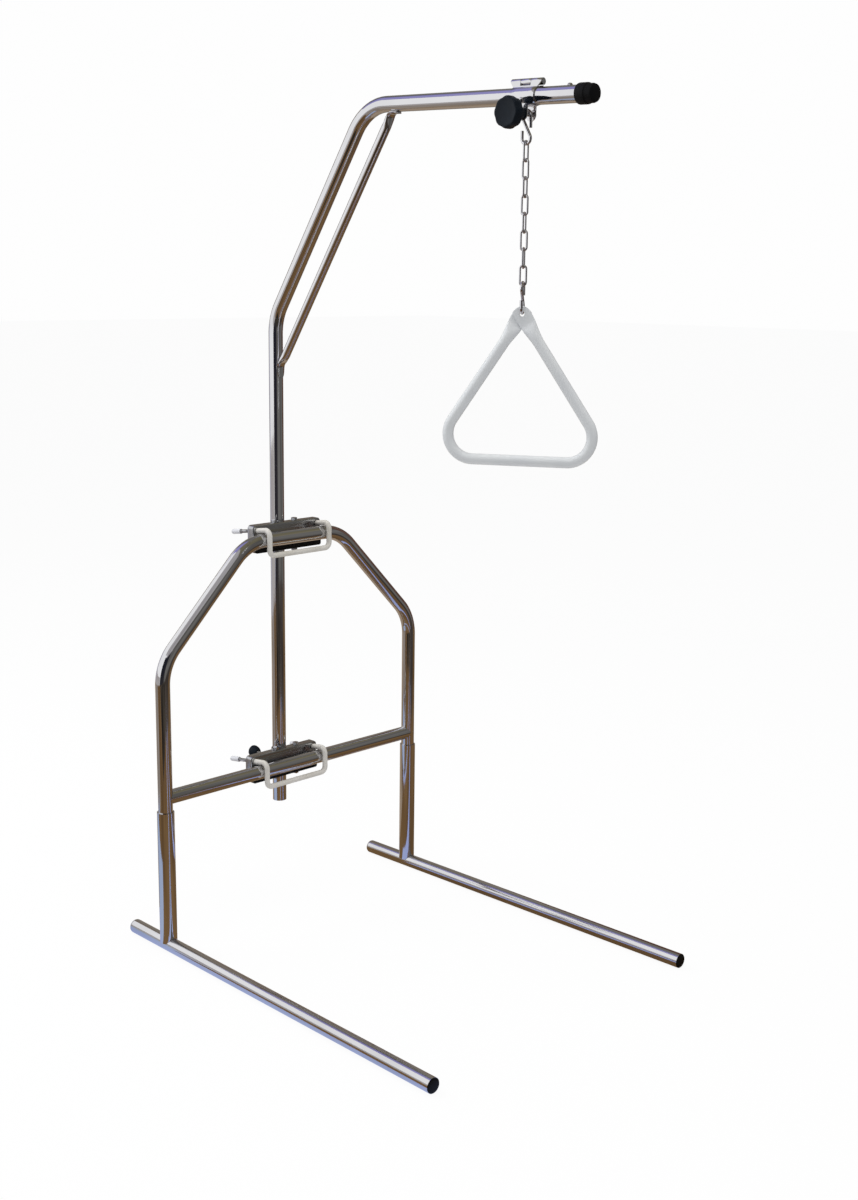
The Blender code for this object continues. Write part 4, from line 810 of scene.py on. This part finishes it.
# %% Straps and their bolts
def build_strap(name, place):
    """Strap with rolled eyes, and its two hexagon bolts and nuts."""
    middle = TUBE / 2 + SEAT + STRAP / 2
    eye = THREAD / 2 + SEAT + STRAP / 2
    centre, bolt = Vector((MAST_X, 0)), Vector((BOLT_X, -BOLT_Y))
    gap = centre - bolt
    heading = math.atan2(gap.y, gap.x) + math.asin((middle + eye) / gap.length)
    side_path = arc(bolt, heading - math.pi / 2 - math.radians(285), heading - math.pi / 2, 36, eye)
    side_path += arc(centre, heading + math.pi / 2, math.pi, 20, middle)
    path = side_path + [(x, -y) for x, y in side_path[-2::-1]]
    strap = bent_sheet([((x, y, -STRAP_HALF_HEIGHT), (x, y, STRAP_HALF_HEIGHT)) for x, y in path], STRAP)
    if name == "lower":
        cut(strap, cylinder(BOLT_HOLE, 0.02, along((1, 0, 0), (STRAP_BACK, 0, -LOCK_DROP))))
    settle(soften(strap, 0.0005), f"{name}_strap", PLATE, place)
    for side, sign in SIDES.items():
        shank = cylinder(THREAD, 0.060, at(z=-0.030))
        thread = moved(threaded(0.016), at(z=-0.0725))
        bolt_shape = joined([hexagon(0.0053), shank, thread])
        bolt_place = place @ at(BOLT_X, sign * BOLT_Y, TRAY_HEIGHT / 2 + SEAT)
        settle(bolt_shape, f"{name}_strap_bolt_{side}", ZINC, bolt_place)
        nut = cut(hexagon(NUT_HEIGHT), cylinder(THREAD + 2 * SEAT, 0.05))
        nut_place = place @ at(BOLT_X, sign * BOLT_Y, -TRAY_HEIGHT / 2 - SEAT - NUT_HEIGHT)
        settle(nut, f"{name}_strap_nut_{side}", ZINC, nut_place)


for name, (height, shift) in LEVELS.items():
    build_strap(name, at(z=height))
print("straps dressed")

# %% Lock screw, boss and knob
lower = at(z=CROSSBAR_Z - LOCK_DROP)
boss = [(0.0044, 0.009), (0.0068, 0.009), (0.008, 0.0078), (0.008, 0.0006), (0.0086, 0), (0.0044, 0)]
settle(turned(boss), "lock_boss", ZINC, lower @ along((-1, 0, 0), (STRAP_BACK - SEAT, 0, 0)))
screw_place = lower @ along((-1, 0, 0), (MAST_BACK - SEAT, 0, 0))
screw = joined([cylinder(0.0066, 0.006, at(z=0.003)), threaded(0.070, start=0.004)])
settle(screw, "lock_screw", CHROME, screw_place)
end, head, neck, knob_start = 0.086 - SEAT, 0.0143, 0.00925, 0.064 - SEAT
crown = [(0, 0.0010), (head * 0.45, 0.0007), (head - 0.0044, 0), (head - 0.0018, 0.0007),
         (head - 0.0005, 0.0022), (head, 0.0045), (head * 0.99, 0.0078), (head * 0.95, 0.0110),
         (head * 0.89, 0.0140), (head * 0.80, 0.0172), (neck + 0.0006, 0.0200)]
knob_profile = [(size, end - drop) for size, drop in crown]
knob_profile += [(neck, knob_start + 0.0009), (neck - 0.0004, knob_start + 0.0003),
                 (neck - 0.0012, knob_start), (0.0043, knob_start), (0.0043, 0.0753), (0, 0.0753)]
settle(turned(knob_profile), "lock_knob", KNOB_PLASTIC_PAINTED_SHEEN, screw_place)
print("lock screw dressed")

# %% [markdown]
# The mast and the boom are one tube with two bends. The brace under the bend is a thinner tube
# whose ends are squeezed flat. A loft makes it: round sections in the middle and flat
# rounded ones at the ends, with a smooth change between.

# %% Mast and boom
boom_end = BOOM_START + BOOM_LENGTH * BOOM_WAY
mast_path = rounded_path([(MAST_X, 0, MAST_BOTTOM_Z), BEND_START, BOOM_START, boom_end], BEND, 28)
mast = thicken(swept(mast_path, TUBE, 56, caps=False), WALL)
DROOP = Matrix.Rotation(BOOM_DROOP, 4, "Y")
CAP_PLACE = Matrix.Translation(BOOM_START + CAP_START * BOOM_WAY) @ DROOP
STOP_PLACE = CAP_PLACE @ at(x=-0.0243, z=TUBE / 2)
cut(mast, cylinder(0.0056, 0.012, STOP_PLACE, 24))
settle(mast, "mast_boom", CHROME, at())
print("mast dressed")

# %% Brace
TONGUE, TONGUE_WIDE, TONGUE_TIP = 0.0036, 0.024, 0.010
LOWER_TONGUE, UPPER_TONGUE, FLARE = 0.027, 0.023, 0.034
BRACE, BRACE_SIDES, BRACE_OFFSET = 0.0195, 56, 0.0739
LOWER_ROW, UPPER_ROW, ROW_GAP = 0.0085, 0.0345, 0.0018
ACROSS = Vector((0, 1, 0))
UP = Vector((0, 0, 1))
STAND_OFF = TUBE / 2 + SEAT + TONGUE / 2


def meet(first, first_way, second, second_way):
    """Crossing point of two lines in the XZ plane."""
    gap = second - first
    bottom = second_way.x * first_way.z - first_way.x * second_way.z
    return first + first_way * ((second_way.x * gap.z - second_way.z * gap.x) / bottom)


def clamped(value):
    """A value kept between 0 and 1."""
    return min(max(value, 0.0), 1.0)


def smooth(share):
    """Smooth step of a share between 0 and 1."""
    return share * share * (3 - 2 * share)


def brace_ring(point, way, half_width, half_thickness, share, curl):
    """Ring of the brace, from a flat bar (share 0) to a round (share 1), curled round the tube."""
    made = []
    through = way.cross(ACROSS)
    for i in range(BRACE_SIDES):
        angle = 2 * math.pi * (i + 0.5) / BRACE_SIDES
        level = 1 - 2 * angle / math.pi if angle < math.pi else 2 * angle / math.pi - 3
        edge = min(1.0, (1 - abs(level)) / 0.12)
        u = (share * math.cos(angle) + (1 - share) * level) * half_width
        flat = math.copysign(math.sqrt(1 - (1 - edge) ** 2), math.sin(angle))
        v = (share * math.sin(angle) + (1 - share) * flat) * half_thickness
        if curl > 0.001:
            bend = STAND_OFF / curl
            u, v = (bend - v) * math.sin(u / bend), bend - (bend - v) * math.cos(u / bend)
        made.append(point + u * ACROSS + v * through)
    return made


brace_side = Vector((math.cos(BENT_ANGLE), 0, -math.sin(BENT_ANGLE)))
on_brace = BEND_START + BRACE_OFFSET * brace_side
low = meet(on_brace, BENT_WAY, BEND_START + Vector((STAND_OFF, 0, 0)), UP)
high = meet(on_brace, BENT_WAY, BOOM_START - STAND_OFF * BOOM_UP, BOOM_WAY)
start, end = low - LOWER_TONGUE * UP, high + UPPER_TONGUE * BOOM_WAY
bends = rounded_path([start, low, high, end], 0.020, 12)[1:-1]
# Rings stand closer together at the tips of the tongues and where the round flattens
shares = [0.0, 0.015, 0.05, 0.10, 0.18, 0.30, 0.45, 0.60]
brace_path = [start + LOWER_TONGUE * share * UP for share in shares] + bends[:13]
brace_path += [low + BENT_WAY * (LOWER_ROW + ROW_GAP * i) for i in range(15)]
brace_path += [high - BENT_WAY * (UPPER_ROW - ROW_GAP * i) for i in range(13)] + bends[13:]
brace_path += [end - BOOM_WAY * UPPER_TONGUE * share for share in reversed(shares[:-2])]
span_length = (high - low).length
rings = []
for i, point in enumerate(brace_path):
    way = (brace_path[min(i + 1, len(brace_path) - 1)] - brace_path[max(i - 1, 0)]).normalized()
    travel = (point - low).dot(BENT_WAY)
    rise = clamped(min(travel, span_length - travel) / FLARE)
    share = smooth(rise)
    beyond = clamped(max((low - point).z / LOWER_TONGUE, (point - high).dot(BOOM_WAY) / UPPER_TONGUE))
    half_width = TONGUE_WIDE / 2 + (BRACE / 2 - TONGUE_WIDE / 2) * share
    half_width -= (TONGUE_WIDE - TONGUE_TIP) / 2 * beyond ** 2
    if beyond > 0.8:
        half_width *= max(0.3, math.sqrt(max(0.0, 1 - ((beyond - 0.8) / 0.2) ** 2)))
    half_thickness = TONGUE / 2 + (BRACE / 2 - TONGUE / 2) * share
    rings.append(brace_ring(point, way, half_width, half_thickness, share, 1 - rise))
settle(loft(rings), "brace", CHROME, at(), 50.0)
print("brace dressed, corners at", [round(v, 3) for v in low], [round(v, 3) for v in high])

# %% Boom end cap and stop screw
outer, nose, bore, top, barrel = 0.01925, 0.01735, TUBE / 2 + SEAT, CAP_LENGTH, 0.0215
cap_profile = [(0, top), (nose * 0.5, top - 0.0002), (nose * 0.78, top - 0.0010), (nose * 0.93, top - 0.0028),
               (nose, top - 0.0065), (nose, barrel + 0.0015), (nose + 0.0004, barrel + 0.0004),
               (outer - 0.0012, barrel), (outer - 0.0003, barrel - 0.0008), (outer, barrel - 0.0024),
               (outer, 0.0026), (outer - 0.0004, 0.0008), (outer - 0.0014, 0), (bore, 0),
               (bore, top - 0.005), (0, top - 0.005)]
settle(turned(cap_profile, 72), "boom_end_cap", RUBBER, CAP_PLACE @ along((1, 0, 0)))
stop = [(0, 0.0040), (0.0025, 0.0037), (0.0041, 0.0026), (0.0049, 0.0012), (0.0050, SEAT), (0.0025, SEAT),
        (0.0025, -0.0048), (0, -0.0048)]
settle(turned(stop, 40), "stop_screw", CHROME, STOP_PLACE)
print("boom end dressed")

# %% [markdown]
# The boom clamp is two rolled shells. Each begins as a knuckle round the hinge pin, goes round the
# boom and ends in an ear under it. The path is bent as the real sheet is, and boxes cut the gaps
# between the knuckles.

# %% Boom clamp
CLAMP_PLACE = Matrix.Translation(BOOM_START + CLAMP_AT * BOOM_WAY) @ DROOP
SHEET = 0.002
SHELL_MID = TUBE / 2 + RUNNING + SHEET / 2
SHELL_TOP = SHELL_MID + SHEET / 2
KNUCKLE = 0.00675
ROLL = KNUCKLE - SHEET / 2
SPINE_Z = SHELL_TOP + SEAT + KNUCKLE
SPINE_HALF, SHELL_HALF, EAR_HALF = 0.0375, 0.0295, 0.012
EAR_Y, EAR_NECK = 0.012, 0.0045


def clamp_shell(node, sign):
    """One half shell of the boom clamp."""
    ear_angle = -math.acos(EAR_Y / SHELL_MID)
    ear_start = SHELL_MID * math.sin(ear_angle)
    ear_round = -STUD_DROP - 0.0125 + EAR_HALF
    path = [(p, SPINE_HALF) for p in arc((0, SPINE_Z), math.radians(245), 0, 40, ROLL)]
    path += [(p, SHELL_HALF) for p in arc((0, 0), math.radians(64), ear_angle, 40, SHELL_MID)]
    for i in range(1, 9):
        half_width = SHELL_HALF + (EAR_HALF - SHELL_HALF) * smooth(i / 8)
        path.append(((EAR_Y, ear_start - EAR_NECK * i / 8), half_width))
    for i in range(1, 7):
        path.append(((EAR_Y, ear_start - EAR_NECK + (ear_round - ear_start + EAR_NECK) * i / 6), EAR_HALF))
    for i in range(1, 10):
        angle = math.pi / 2 * i / 10
        path.append(((EAR_Y, ear_round - EAR_HALF * math.sin(angle)), EAR_HALF * math.cos(angle)))
    shell = bent_sheet([((-h, sign * y, z), (h, sign * y, z)) for (y, z), h in path], SHEET, 4)
    knuckle = 2 * SPINE_HALF / 3
    gaps = [(0.0, knuckle + 2 * SEAT)]
    if sign > 0:
        gaps = [(side * (knuckle + 0.01), knuckle + 2 * SEAT + 0.02) for side in (-1, 1)]
    for x, width in gaps:
        cut(shell, from_bmesh(box((width, 0.06, 0.2), (x, 0, SHELL_TOP + SEAT + 0.1))))
    cut(shell, cylinder(BOLT_HOLE, 0.01, along((0, 1, 0), (0, sign * EAR_Y, -STUD_DROP))))
    settle(soften(shell, 0.0004), node, CHROME, CLAMP_PLACE, 30.0)


clamp_shell("clamp_shell_near", -1)
clamp_shell("clamp_shell_far", 1)
pin_end = [(0, 0.0385), (0.0038, 0.0385), (0.0043, 0.0380)]
pin = turned(pin_end + [(size, -z) for size, z in pin_end[::-1]], 40)
settle(pin, "clamp_hinge_pin", ZINC, CLAMP_PLACE @ along((1, 0, 0), (0, 0, SPINE_Z)))
RIVET_ANGLE = math.radians(-22)
rivet_way = Vector((0, -math.cos(RIVET_ANGLE), math.sin(RIVET_ANGLE)))
rivet = [(0, 0.0036), (0.0020, 0.0033), (0.0036, 0.0022), (0.0045, 0.0009), (0.00475, SEAT), (0.0025, SEAT),
         (0.0025, -SHEET), (0, -SHEET)]
settle(turned(rivet, 40), "clamp_rivet", CHROME, CLAMP_PLACE @ along(rivet_way, rivet_way * SHELL_TOP))
print("clamp shells dressed")

# %% [markdown]
# The clamp's knob is a fluted disc on a narrower hub. A turned profile alone would lose the
# flutes, so each ring of the loft is pulled in and out by a cosine with eight waves, strongest at
# the rim and fading towards the hub.

# %% Knob, stud and nut
EAR_FACE = EAR_Y + SHEET / 2
KNOB_FROM = EAR_FACE + RUNNING
KNOB_END = KNOB_FROM + 0.047
KNOB_PLACE = CLAMP_PLACE @ along((0, -1, 0), (0, 0, -STUD_DROP))
KNOB_POINTS, FLUTES, FLUTE_DEPTH = 128, 8, 0.0016
disc = [(0.0002, 0.0022), (0.010, 0.0020), (0.019, 0.0012), (0.0235, 0.0004), (0.0260, 0), (0.0278, 0.0010),
        (0.0290, 0.0030), (0.0295, 0.0060), (0.0295, 0.0155), (0.0288, 0.0188), (0.0270, 0.0208),
        (0.0245, 0.0218), (0.0205, 0.0240), (0.0165, 0.0290), (0.0145, 0.0340), (0.0120, 0.0400)]
hub = [(0.0108, 0.0020), (0.0102, 0.0004), (0.0096, 0), (0.0002, 0)]
profile = [(size, KNOB_END - drop) for size, drop in disc] + [(size, KNOB_FROM + rise) for size, rise in hub]
knob_rings = []
for size, z in profile:
    depth = FLUTE_DEPTH * clamped((size - 0.018) / 0.0115)
    ring = []
    for i in range(KNOB_POINTS):
        angle = 2 * math.pi * i / KNOB_POINTS
        reach = size - depth * (0.5 - 0.5 * math.cos(FLUTES * angle)) ** 1.5
        ring.append(Vector((reach * math.cos(angle), reach * math.sin(angle), z)))
    knob_rings.append(ring)
settle(loft(knob_rings), "clamp_knob", KNOB_PLASTIC_PAINTED_SHEEN, KNOB_PLACE, 50.0)
stud_back = EAR_FACE + SEAT + NUT_HEIGHT + 0.003
stud_front = KNOB_FROM + 0.030
shank = cylinder(THREAD - 0.0002, stud_back + stud_front, at(z=(stud_front - stud_back) / 2 + 0.001))
settle(joined([shank, moved(threaded(0.016), at(z=-stud_back))]), "clamp_stud", ZINC, KNOB_PLACE)
nut = cut(hexagon(NUT_HEIGHT), cylinder(BOLT_HOLE, 0.05))
settle(nut, "clamp_nut", ZINC, CLAMP_PLACE @ along((0, 1, 0), (0, EAR_FACE + SEAT, -STUD_DROP)))
print("knob dressed, radius", round(max(v.x for v in knob_rings[7]), 4))

# %% [markdown]
# The chain hangs from an S-hook on the clamp's stud. Each link hangs on the wire of the one before
# it and is turned by a little less or more than a right angle, so the chain twists by thirty
# degrees on its way down. The sweep tree makes each link from one closed path.

# %% S-hooks and chain
HOOK_WIRE, LINK_WIRE, LOOP = 0.006, 0.004, 0.0103
LINK_LENGTH, LINK_WIDTH, LINKS = 0.0408, 0.016, 8
HOOK_TAIL = 0.0137
TWIST = math.radians(30.0)


def hanging(pivot, yaw):
    """Place of a piece that hangs from a pivot."""
    return Matrix.Translation(pivot) @ Matrix.Rotation(yaw, 4, "Z")


def build_hook(node, length, top_tail, pivot, yaw, pin_radius):
    """S-hook whose upper loop rests on a pin; returns where the next piece hangs."""
    lift = pin_radius + SEAT + HOOK_WIRE / 2 - LOOP
    spread = length - HOOK_WIRE - 2 * LOOP
    lean = math.asin(2 * LOOP / spread)
    flat = [(LOOP, -top_tail)] + arc((0, 0), 0, math.pi + lean, 36, LOOP)
    flat += arc((0, -spread), lean, -math.pi, 36, LOOP) + [(-LOOP, -spread + HOOK_TAIL)]
    path = [Vector((x, 0, z + lift)) for x, z in flat]
    points, scales = eased(path, (0.0, 0.0006, 0.0016), [0.55, 0.85, 1.0])
    settle(swept(points, HOOK_WIRE, 28, scales=scales), node, CHAIN, hanging(pivot, yaw), 40.0)
    return pivot + Vector((0, 0, lift - spread - LOOP))


def build_link(node, pivot, yaw, pin_radius):
    """Chain link that hangs on a wire; returns where the next piece hangs."""
    size = (LINK_WIDTH - LINK_WIRE) / 2
    top = pin_radius + SEAT + LINK_WIRE / 2
    straight = LINK_LENGTH - LINK_WIRE - 2 * size
    flat = arc((0, top - size), 0, math.pi, 20, size)
    flat += arc((0, top - size - straight), math.pi, 2 * math.pi, 20, size)
    wire = swept([(x, 0, z) for x, z in flat], LINK_WIRE, 24, caps=False, cyclic=True)
    settle(wire, node, CHAIN, hanging(pivot, yaw), 60.0)
    return pivot + Vector((0, 0, top - (LINK_LENGTH - LINK_WIRE)))


hang = build_hook("upper_s_hook", 0.0663, 0.0215, STUD, 0.0, THREAD / 2)
pin_radius = HOOK_WIRE / 2
for number in range(1, LINKS + 1):
    yaw = math.pi / 2 * (number % 2) + TWIST * number / LINKS
    hang = build_link(f"chain_link_{number}", hang, yaw, pin_radius)
    pin_radius = LINK_WIRE / 2
hang = build_hook("lower_s_hook", 0.0630, HOOK_TAIL, hang, TWIST + math.pi / 2, pin_radius)
print("chain dressed, handle hangs at", [round(v, 4) for v in hang])

# %% [markdown]
# The handle is one bent tube. Its two ends are pressed flat, lapped and drilled, which gives the
# eye its two layers and the fold lines that show in the enamel. One loft follows the tube from the
# left end to the right end. The left half is the right half turned by half a turn, so that one end
# lies behind and the other in front. Each of its rings is read backwards, so that its points line
# up with those of the right half.

# %% Handle
HANDLE_TUBE, HANDLE_SIDES, HANDLE_BEND = 0.0215, 56, 0.049
SIDE_ANGLE = math.radians(33.6)
APEX_DROP, DROP, LEAF, LAP_GAP = 0.0046, 0.2829, 0.0028, 0.00005
EYE_HOLE, EYE_TOP = 0.0104, 0.00369
apex = Vector((0, 0, -APEX_DROP))
down = Vector((math.sin(SIDE_ANGLE), 0, -math.cos(SIDE_ANGLE)))
outward = Vector((math.cos(SIDE_ANGLE), 0, math.sin(SIDE_ANGLE)))
corner = apex + down * ((DROP - APEX_DROP) / math.cos(SIDE_ANGLE))
# Each row: how far down the tube from the apex, inner edge, outer edge, and how round (0 is flat)
stations = [(-0.0168, 0.0020, 0.0010, 0.0), (-0.0163, 0.0080, 0.0060, 0.0), (-0.0150, 0.0122, 0.0098, 0.0),
            (-0.0125, 0.0138, 0.0130, 0.0), (-0.0085, 0.0142, 0.0158, 0.0), (-0.0030, 0.0142, 0.0177, 0.0),
            (0.0040, 0.0142, 0.0182, 0.0), (0.0120, 0.0142, 0.0180, 0.0), (0.0190, 0.0142, 0.0172, 0.0),
            (0.0230, 0.0142, 0.0165, 0.10), (0.0265, 0.0141, 0.0158, 0.30), (0.0300, 0.0140, 0.0151, 0.50),
            (0.0340, 0.0137, 0.0144, 0.68), (0.0390, 0.0131, 0.0135, 0.82), (0.0450, 0.0124, 0.0126, 0.92),
            (0.0520, 0.0115, 0.0117, 0.98), (0.0600, 0.01075, 0.01075, 1.0)]
tube_path = rounded_path([apex + down * 0.060, corner, Vector((0, 0, -DROP))], HANDLE_BEND, 24)


def section(centre, across, half_width, half_thickness, squareness):
    """Ring of points, an ellipse at squareness 1 and a flat rounded bar above it."""
    ring = []
    for i in range(HANDLE_SIDES):
        angle = 2 * math.pi * (i + 0.5) / HANDLE_SIDES
        c, s = math.cos(angle), math.sin(angle)
        u = math.copysign(abs(c) ** (1 / squareness), c) * half_width
        v = math.copysign(abs(s) ** (1 / squareness), s) * half_thickness
        ring.append(centre + u * across + v * ACROSS)
    return ring


right_half = []
for reach, inner, outer, share in stations:
    layer = -(LEAF / 2 + LAP_GAP) * (1 - share)
    centre = apex + down * reach + outward * ((outer - inner) / 2) + layer * ACROSS
    thick = LEAF / 2 + (HANDLE_TUBE / 2 - LEAF / 2) * share
    squareness = 2.6 - 1.6 * min(share * 1.3, 1.0)
    right_half.append(section(centre, outward, (inner + outer) / 2, thick, squareness))
for before, point, after in zip(tube_path, tube_path[1:], tube_path[2:] + [None]):
    across = -UP
    if after:
        way = (after - before).normalized()
        across = Vector((-way.z, 0, way.x))
    right_half.append(section(point, across, HANDLE_TUBE / 2, HANDLE_TUBE / 2, 1.0))
left_half = [[Vector((-p.x, -p.y, p.z)) for p in reversed(ring)] for ring in right_half]
handle = loft(left_half + right_half[-2::-1])
cut(handle, cylinder(EYE_HOLE, 0.03, at(z=EYE_TOP - EYE_HOLE / 2) @ along((0, 1, 0)), 48))
soften(handle, 0.0005, 2, 55)
settle(handle, "trapeze_handle", ENAMEL, hanging(hang, TWIST), 38.0)
print("handle dressed, rings", 2 * len(right_half) - 1)

# %% [markdown]
# The studio is a pale floor and soft light, and the background is white to the camera and to
# mirror rays alike. Mirror rays don't see the floor, because cards lie there for them.

# %% Floor
bm = bmesh.new()
bmesh.ops.create_grid(bm, x_segments=1, y_segments=1, size=40.0)
floor_mesh = bpy.data.meshes.new("studio_floor")
bm.to_mesh(floor_mesh)
bm.free()
floor = in_scene("studio_floor", floor_mesh)
floor.location.z = -0.0004
floor.visible_glossy = False
FLOOR_WHITE = 0.94
pale = Finish("pale_floor", (0.86, 0.86, 0.86), 0.9)
whitened = pale.add("ShaderNodeLightPath", output="Is Camera Ray") * FLOOR_WHITE
white = pale.add("ShaderNodeEmission", {"Color": (1.0, 1.0, 1.0)})
ground = Signal(pale, pale.shader.outputs["BSDF"])
pale.surface(pale.add("ShaderNodeMixShader", {0: whitened, 1: ground, 2: white}))
floor_mesh.materials.append(pale.material)
print("floor ready")

# %% World
LIGHT_TONE, SEEN_TONE = (0.52, 0.52, 0.53), (0.99, 0.99, 0.99)
world = bpy.data.worlds.new("studio_world")
bpy.context.scene.world = world
world.use_nodes = True
sky = Tree(world.node_tree)
is_camera, is_glossy, is_clear = (sky.add("ShaderNodeLightPath", output=f"Is {kind} Ray")
                                  for kind in ("Camera", "Glossy", "Transmission"))
seen = is_camera.maths("MAXIMUM", is_glossy).maths("MAXIMUM", is_clear)
sky.feed(world.node_tree.nodes["Background"].inputs["Color"], sky.mix(seen, LIGHT_TONE, SEEN_TONE))
print("world ready")

# %% [markdown]
# Chrome has no look of its own, so it needs something to mirror. Cards stand round the stand for
# that, as flags do in a photo studio, and only mirror rays see them. Each has a blotchy colour, and
# they stand for the room in the photograph.

# %% Cards for the chrome to mirror
CARD_REACH, WALL_RADIUS, CEILING = 4.2, 3.6, 3.6


def card(name, corners, colour, mottled):
    """A card that only mirror rays see, with a blotchy colour of its own."""
    bm = bmesh.new()
    bm.faces.new([bm.verts.new(corner) for corner in corners])
    mesh = bpy.data.meshes.new(name)
    bm.to_mesh(mesh)
    bm.free()
    item = in_scene(name, mesh)
    for ray in ("camera", "diffuse", "transmission", "volume_scatter", "shadow"):
        setattr(item, f"visible_{ray}", False)
    paint = Finish(name, colour, 1.0)
    blotch = paint.noise(0.9).ramp(0.35, 0.65)
    paint.surface(paint.add("ShaderNodeEmission", {"Color": paint.mix(blotch, colour, mottled)}))
    paint.material.cycles.emission_sampling = "NONE"
    mesh.materials.append(paint.material)


def flat_card(name, x_range, y_range, height, colour, mottled):
    """A level card over a rectangle."""
    (x0, x1), (y0, y1) = x_range, y_range
    card(name, [(x0, y0, height), (x1, y0, height), (x1, y1, height), (x0, y1, height)], colour, mottled)


def ring_card(name, start, end, inner, outer, colour, mottled):
    """Cards between two compass angles in degrees, from one (radius, height) to another."""
    steps = max(1, round((end - start) / 20.0))
    for i in range(steps):
        angles = [math.radians(start + (end - start) * (i + k) / steps) for k in (0, 1)]
        places = [(angles[0], inner), (angles[1], inner), (angles[1], outer), (angles[0], outer)]
        corners = [(r * math.cos(a), r * math.sin(a), z) for a, (r, z) in places]
        card(f"{name}_{i + 1}", corners, colour, mottled)


def floor_card(name, start, end, inner, colour, mottled):
    """Cards on the floor, from an inner radius outwards."""
    ring_card(name, start, end, (inner, -0.004), (CARD_REACH, -0.004), colour, mottled)


def wall_card(name, start, end, top, colour, mottled):
    """Upright cards from the floor to a height."""
    ring_card(name, start, end, (WALL_RADIUS, -0.001), (WALL_RADIUS, top), colour, mottled)


print("card helpers ready")

# %% [markdown]
# The floor is dark boards that catch the window on the left, so there are bluish strips beside the
# two floor tubes and a pale patch to the left.

# %% Cards on the floor
flat_card("boards_below", (-4.0, 4.0), (-4.0, 4.0), -0.005, (0.13, 0.075, 0.034), (0.21, 0.125, 0.055))
floor_card("dark_rug", -80, -14, 1.5, (0.014, 0.013, 0.012), (0.070, 0.058, 0.045))
floor_card("grey_rug", -14, 60, 1.3, (0.045, 0.036, 0.030), (0.085, 0.070, 0.060))
floor_card("pale_boards", 125, 195, 0.65, (0.30, 0.23, 0.16), (0.40, 0.31, 0.23))
floor_card("window_shine", 195, 240, 1.5, (0.24, 0.20, 0.165), (0.36, 0.32, 0.29))
flat_card("window_gleam", (-1.35, -0.37), (-0.95, -0.40), -0.003, (0.34, 0.42, 0.60), (0.44, 0.52, 0.70))
flat_card("near_strip", (-0.6, 1.4), (-0.43, -0.322), -0.002, (0.36, 0.42, 0.72), (0.42, 0.49, 0.76))
flat_card("far_strip", (-0.37, 1.4), (0.21, 0.318), -0.002, (0.36, 0.42, 0.72), (0.42, 0.49, 0.76))
print("floor cards ready")

# %% [markdown]
# A dark curtain hangs behind the camera, and grey and brown walls close the right and the back.
# The side to the left has only low cards, and above them the metal shows the white background as
# windows.

# %% Cards for the walls and the ceiling
wall_card("dark_curtain", -86, -30, 2.9, (0.012, 0.013, 0.022), (0.035, 0.032, 0.035))
wall_card("right_wall", -30, 75, CEILING, (0.10, 0.095, 0.088), (0.17, 0.165, 0.155))
wall_card("back_wall", 75, 125, CEILING, (0.09, 0.045, 0.032), (0.14, 0.085, 0.065))
wall_card("door_wall", 125, 178, CEILING, (0.19, 0.15, 0.12), (0.25, 0.225, 0.19))
wall_card("pale_wall", 178, 200, 1.4, (0.50, 0.50, 0.60), (0.62, 0.62, 0.70))
wall_card("window_sill", 200, 274, 0.75, (0.40, 0.37, 0.36), (0.55, 0.53, 0.52))
flat_card("olive_ceiling", (-0.8, 4.0), (-0.8, 4.0), CEILING, (0.15, 0.135, 0.085), (0.20, 0.18, 0.125))
flat_card("grey_ceiling", (-0.8, 4.0), (-4.0, -0.8), CEILING, (0.34, 0.32, 0.33), (0.46, 0.45, 0.45))
flat_card("blue_ceiling", (-4.0, -0.8), (-1.15, 0.25), CEILING, (0.24, 0.22, 0.50), (0.34, 0.32, 0.62))
flat_card("dim_ceiling", (-4.0, -0.8), (0.25, 4.0), CEILING, (0.15, 0.15, 0.145), (0.21, 0.20, 0.18))
print("cards ready")

# %% [markdown]
# Two large square lamps give the soft light. Mirror rays don't see them, so they leave no white
# squares in the chrome.


# %% Lamps
def soft_lamp(name, place, aim, size, watts, colour):
    """A large square lamp."""
    data = bpy.data.lights.new(name, "AREA")
    data.shape = "SQUARE"
    data.size = size
    data.energy = watts
    data.color = colour
    lamp = in_scene(name, data)
    lamp.location = place
    lamp.rotation_euler = (Vector(aim) - Vector(place)).to_track_quat("-Z", "Y").to_euler()
    lamp.visible_glossy = False


soft_lamp("window_light", (-3.0, -1.6, 3.9), (0.0, 0.0, 1.0), size=2.4, watts=105.0, colour=(0.95, 0.97, 1.0))
soft_lamp("ceiling_light", (0.6, -0.2, 4.2), (0.0, 0.0, 0.8), size=2.8, watts=75.0, colour=(1.0, 0.99, 0.96))
bpy.context.scene.view_settings.view_transform = "Standard"
print("lamps ready")
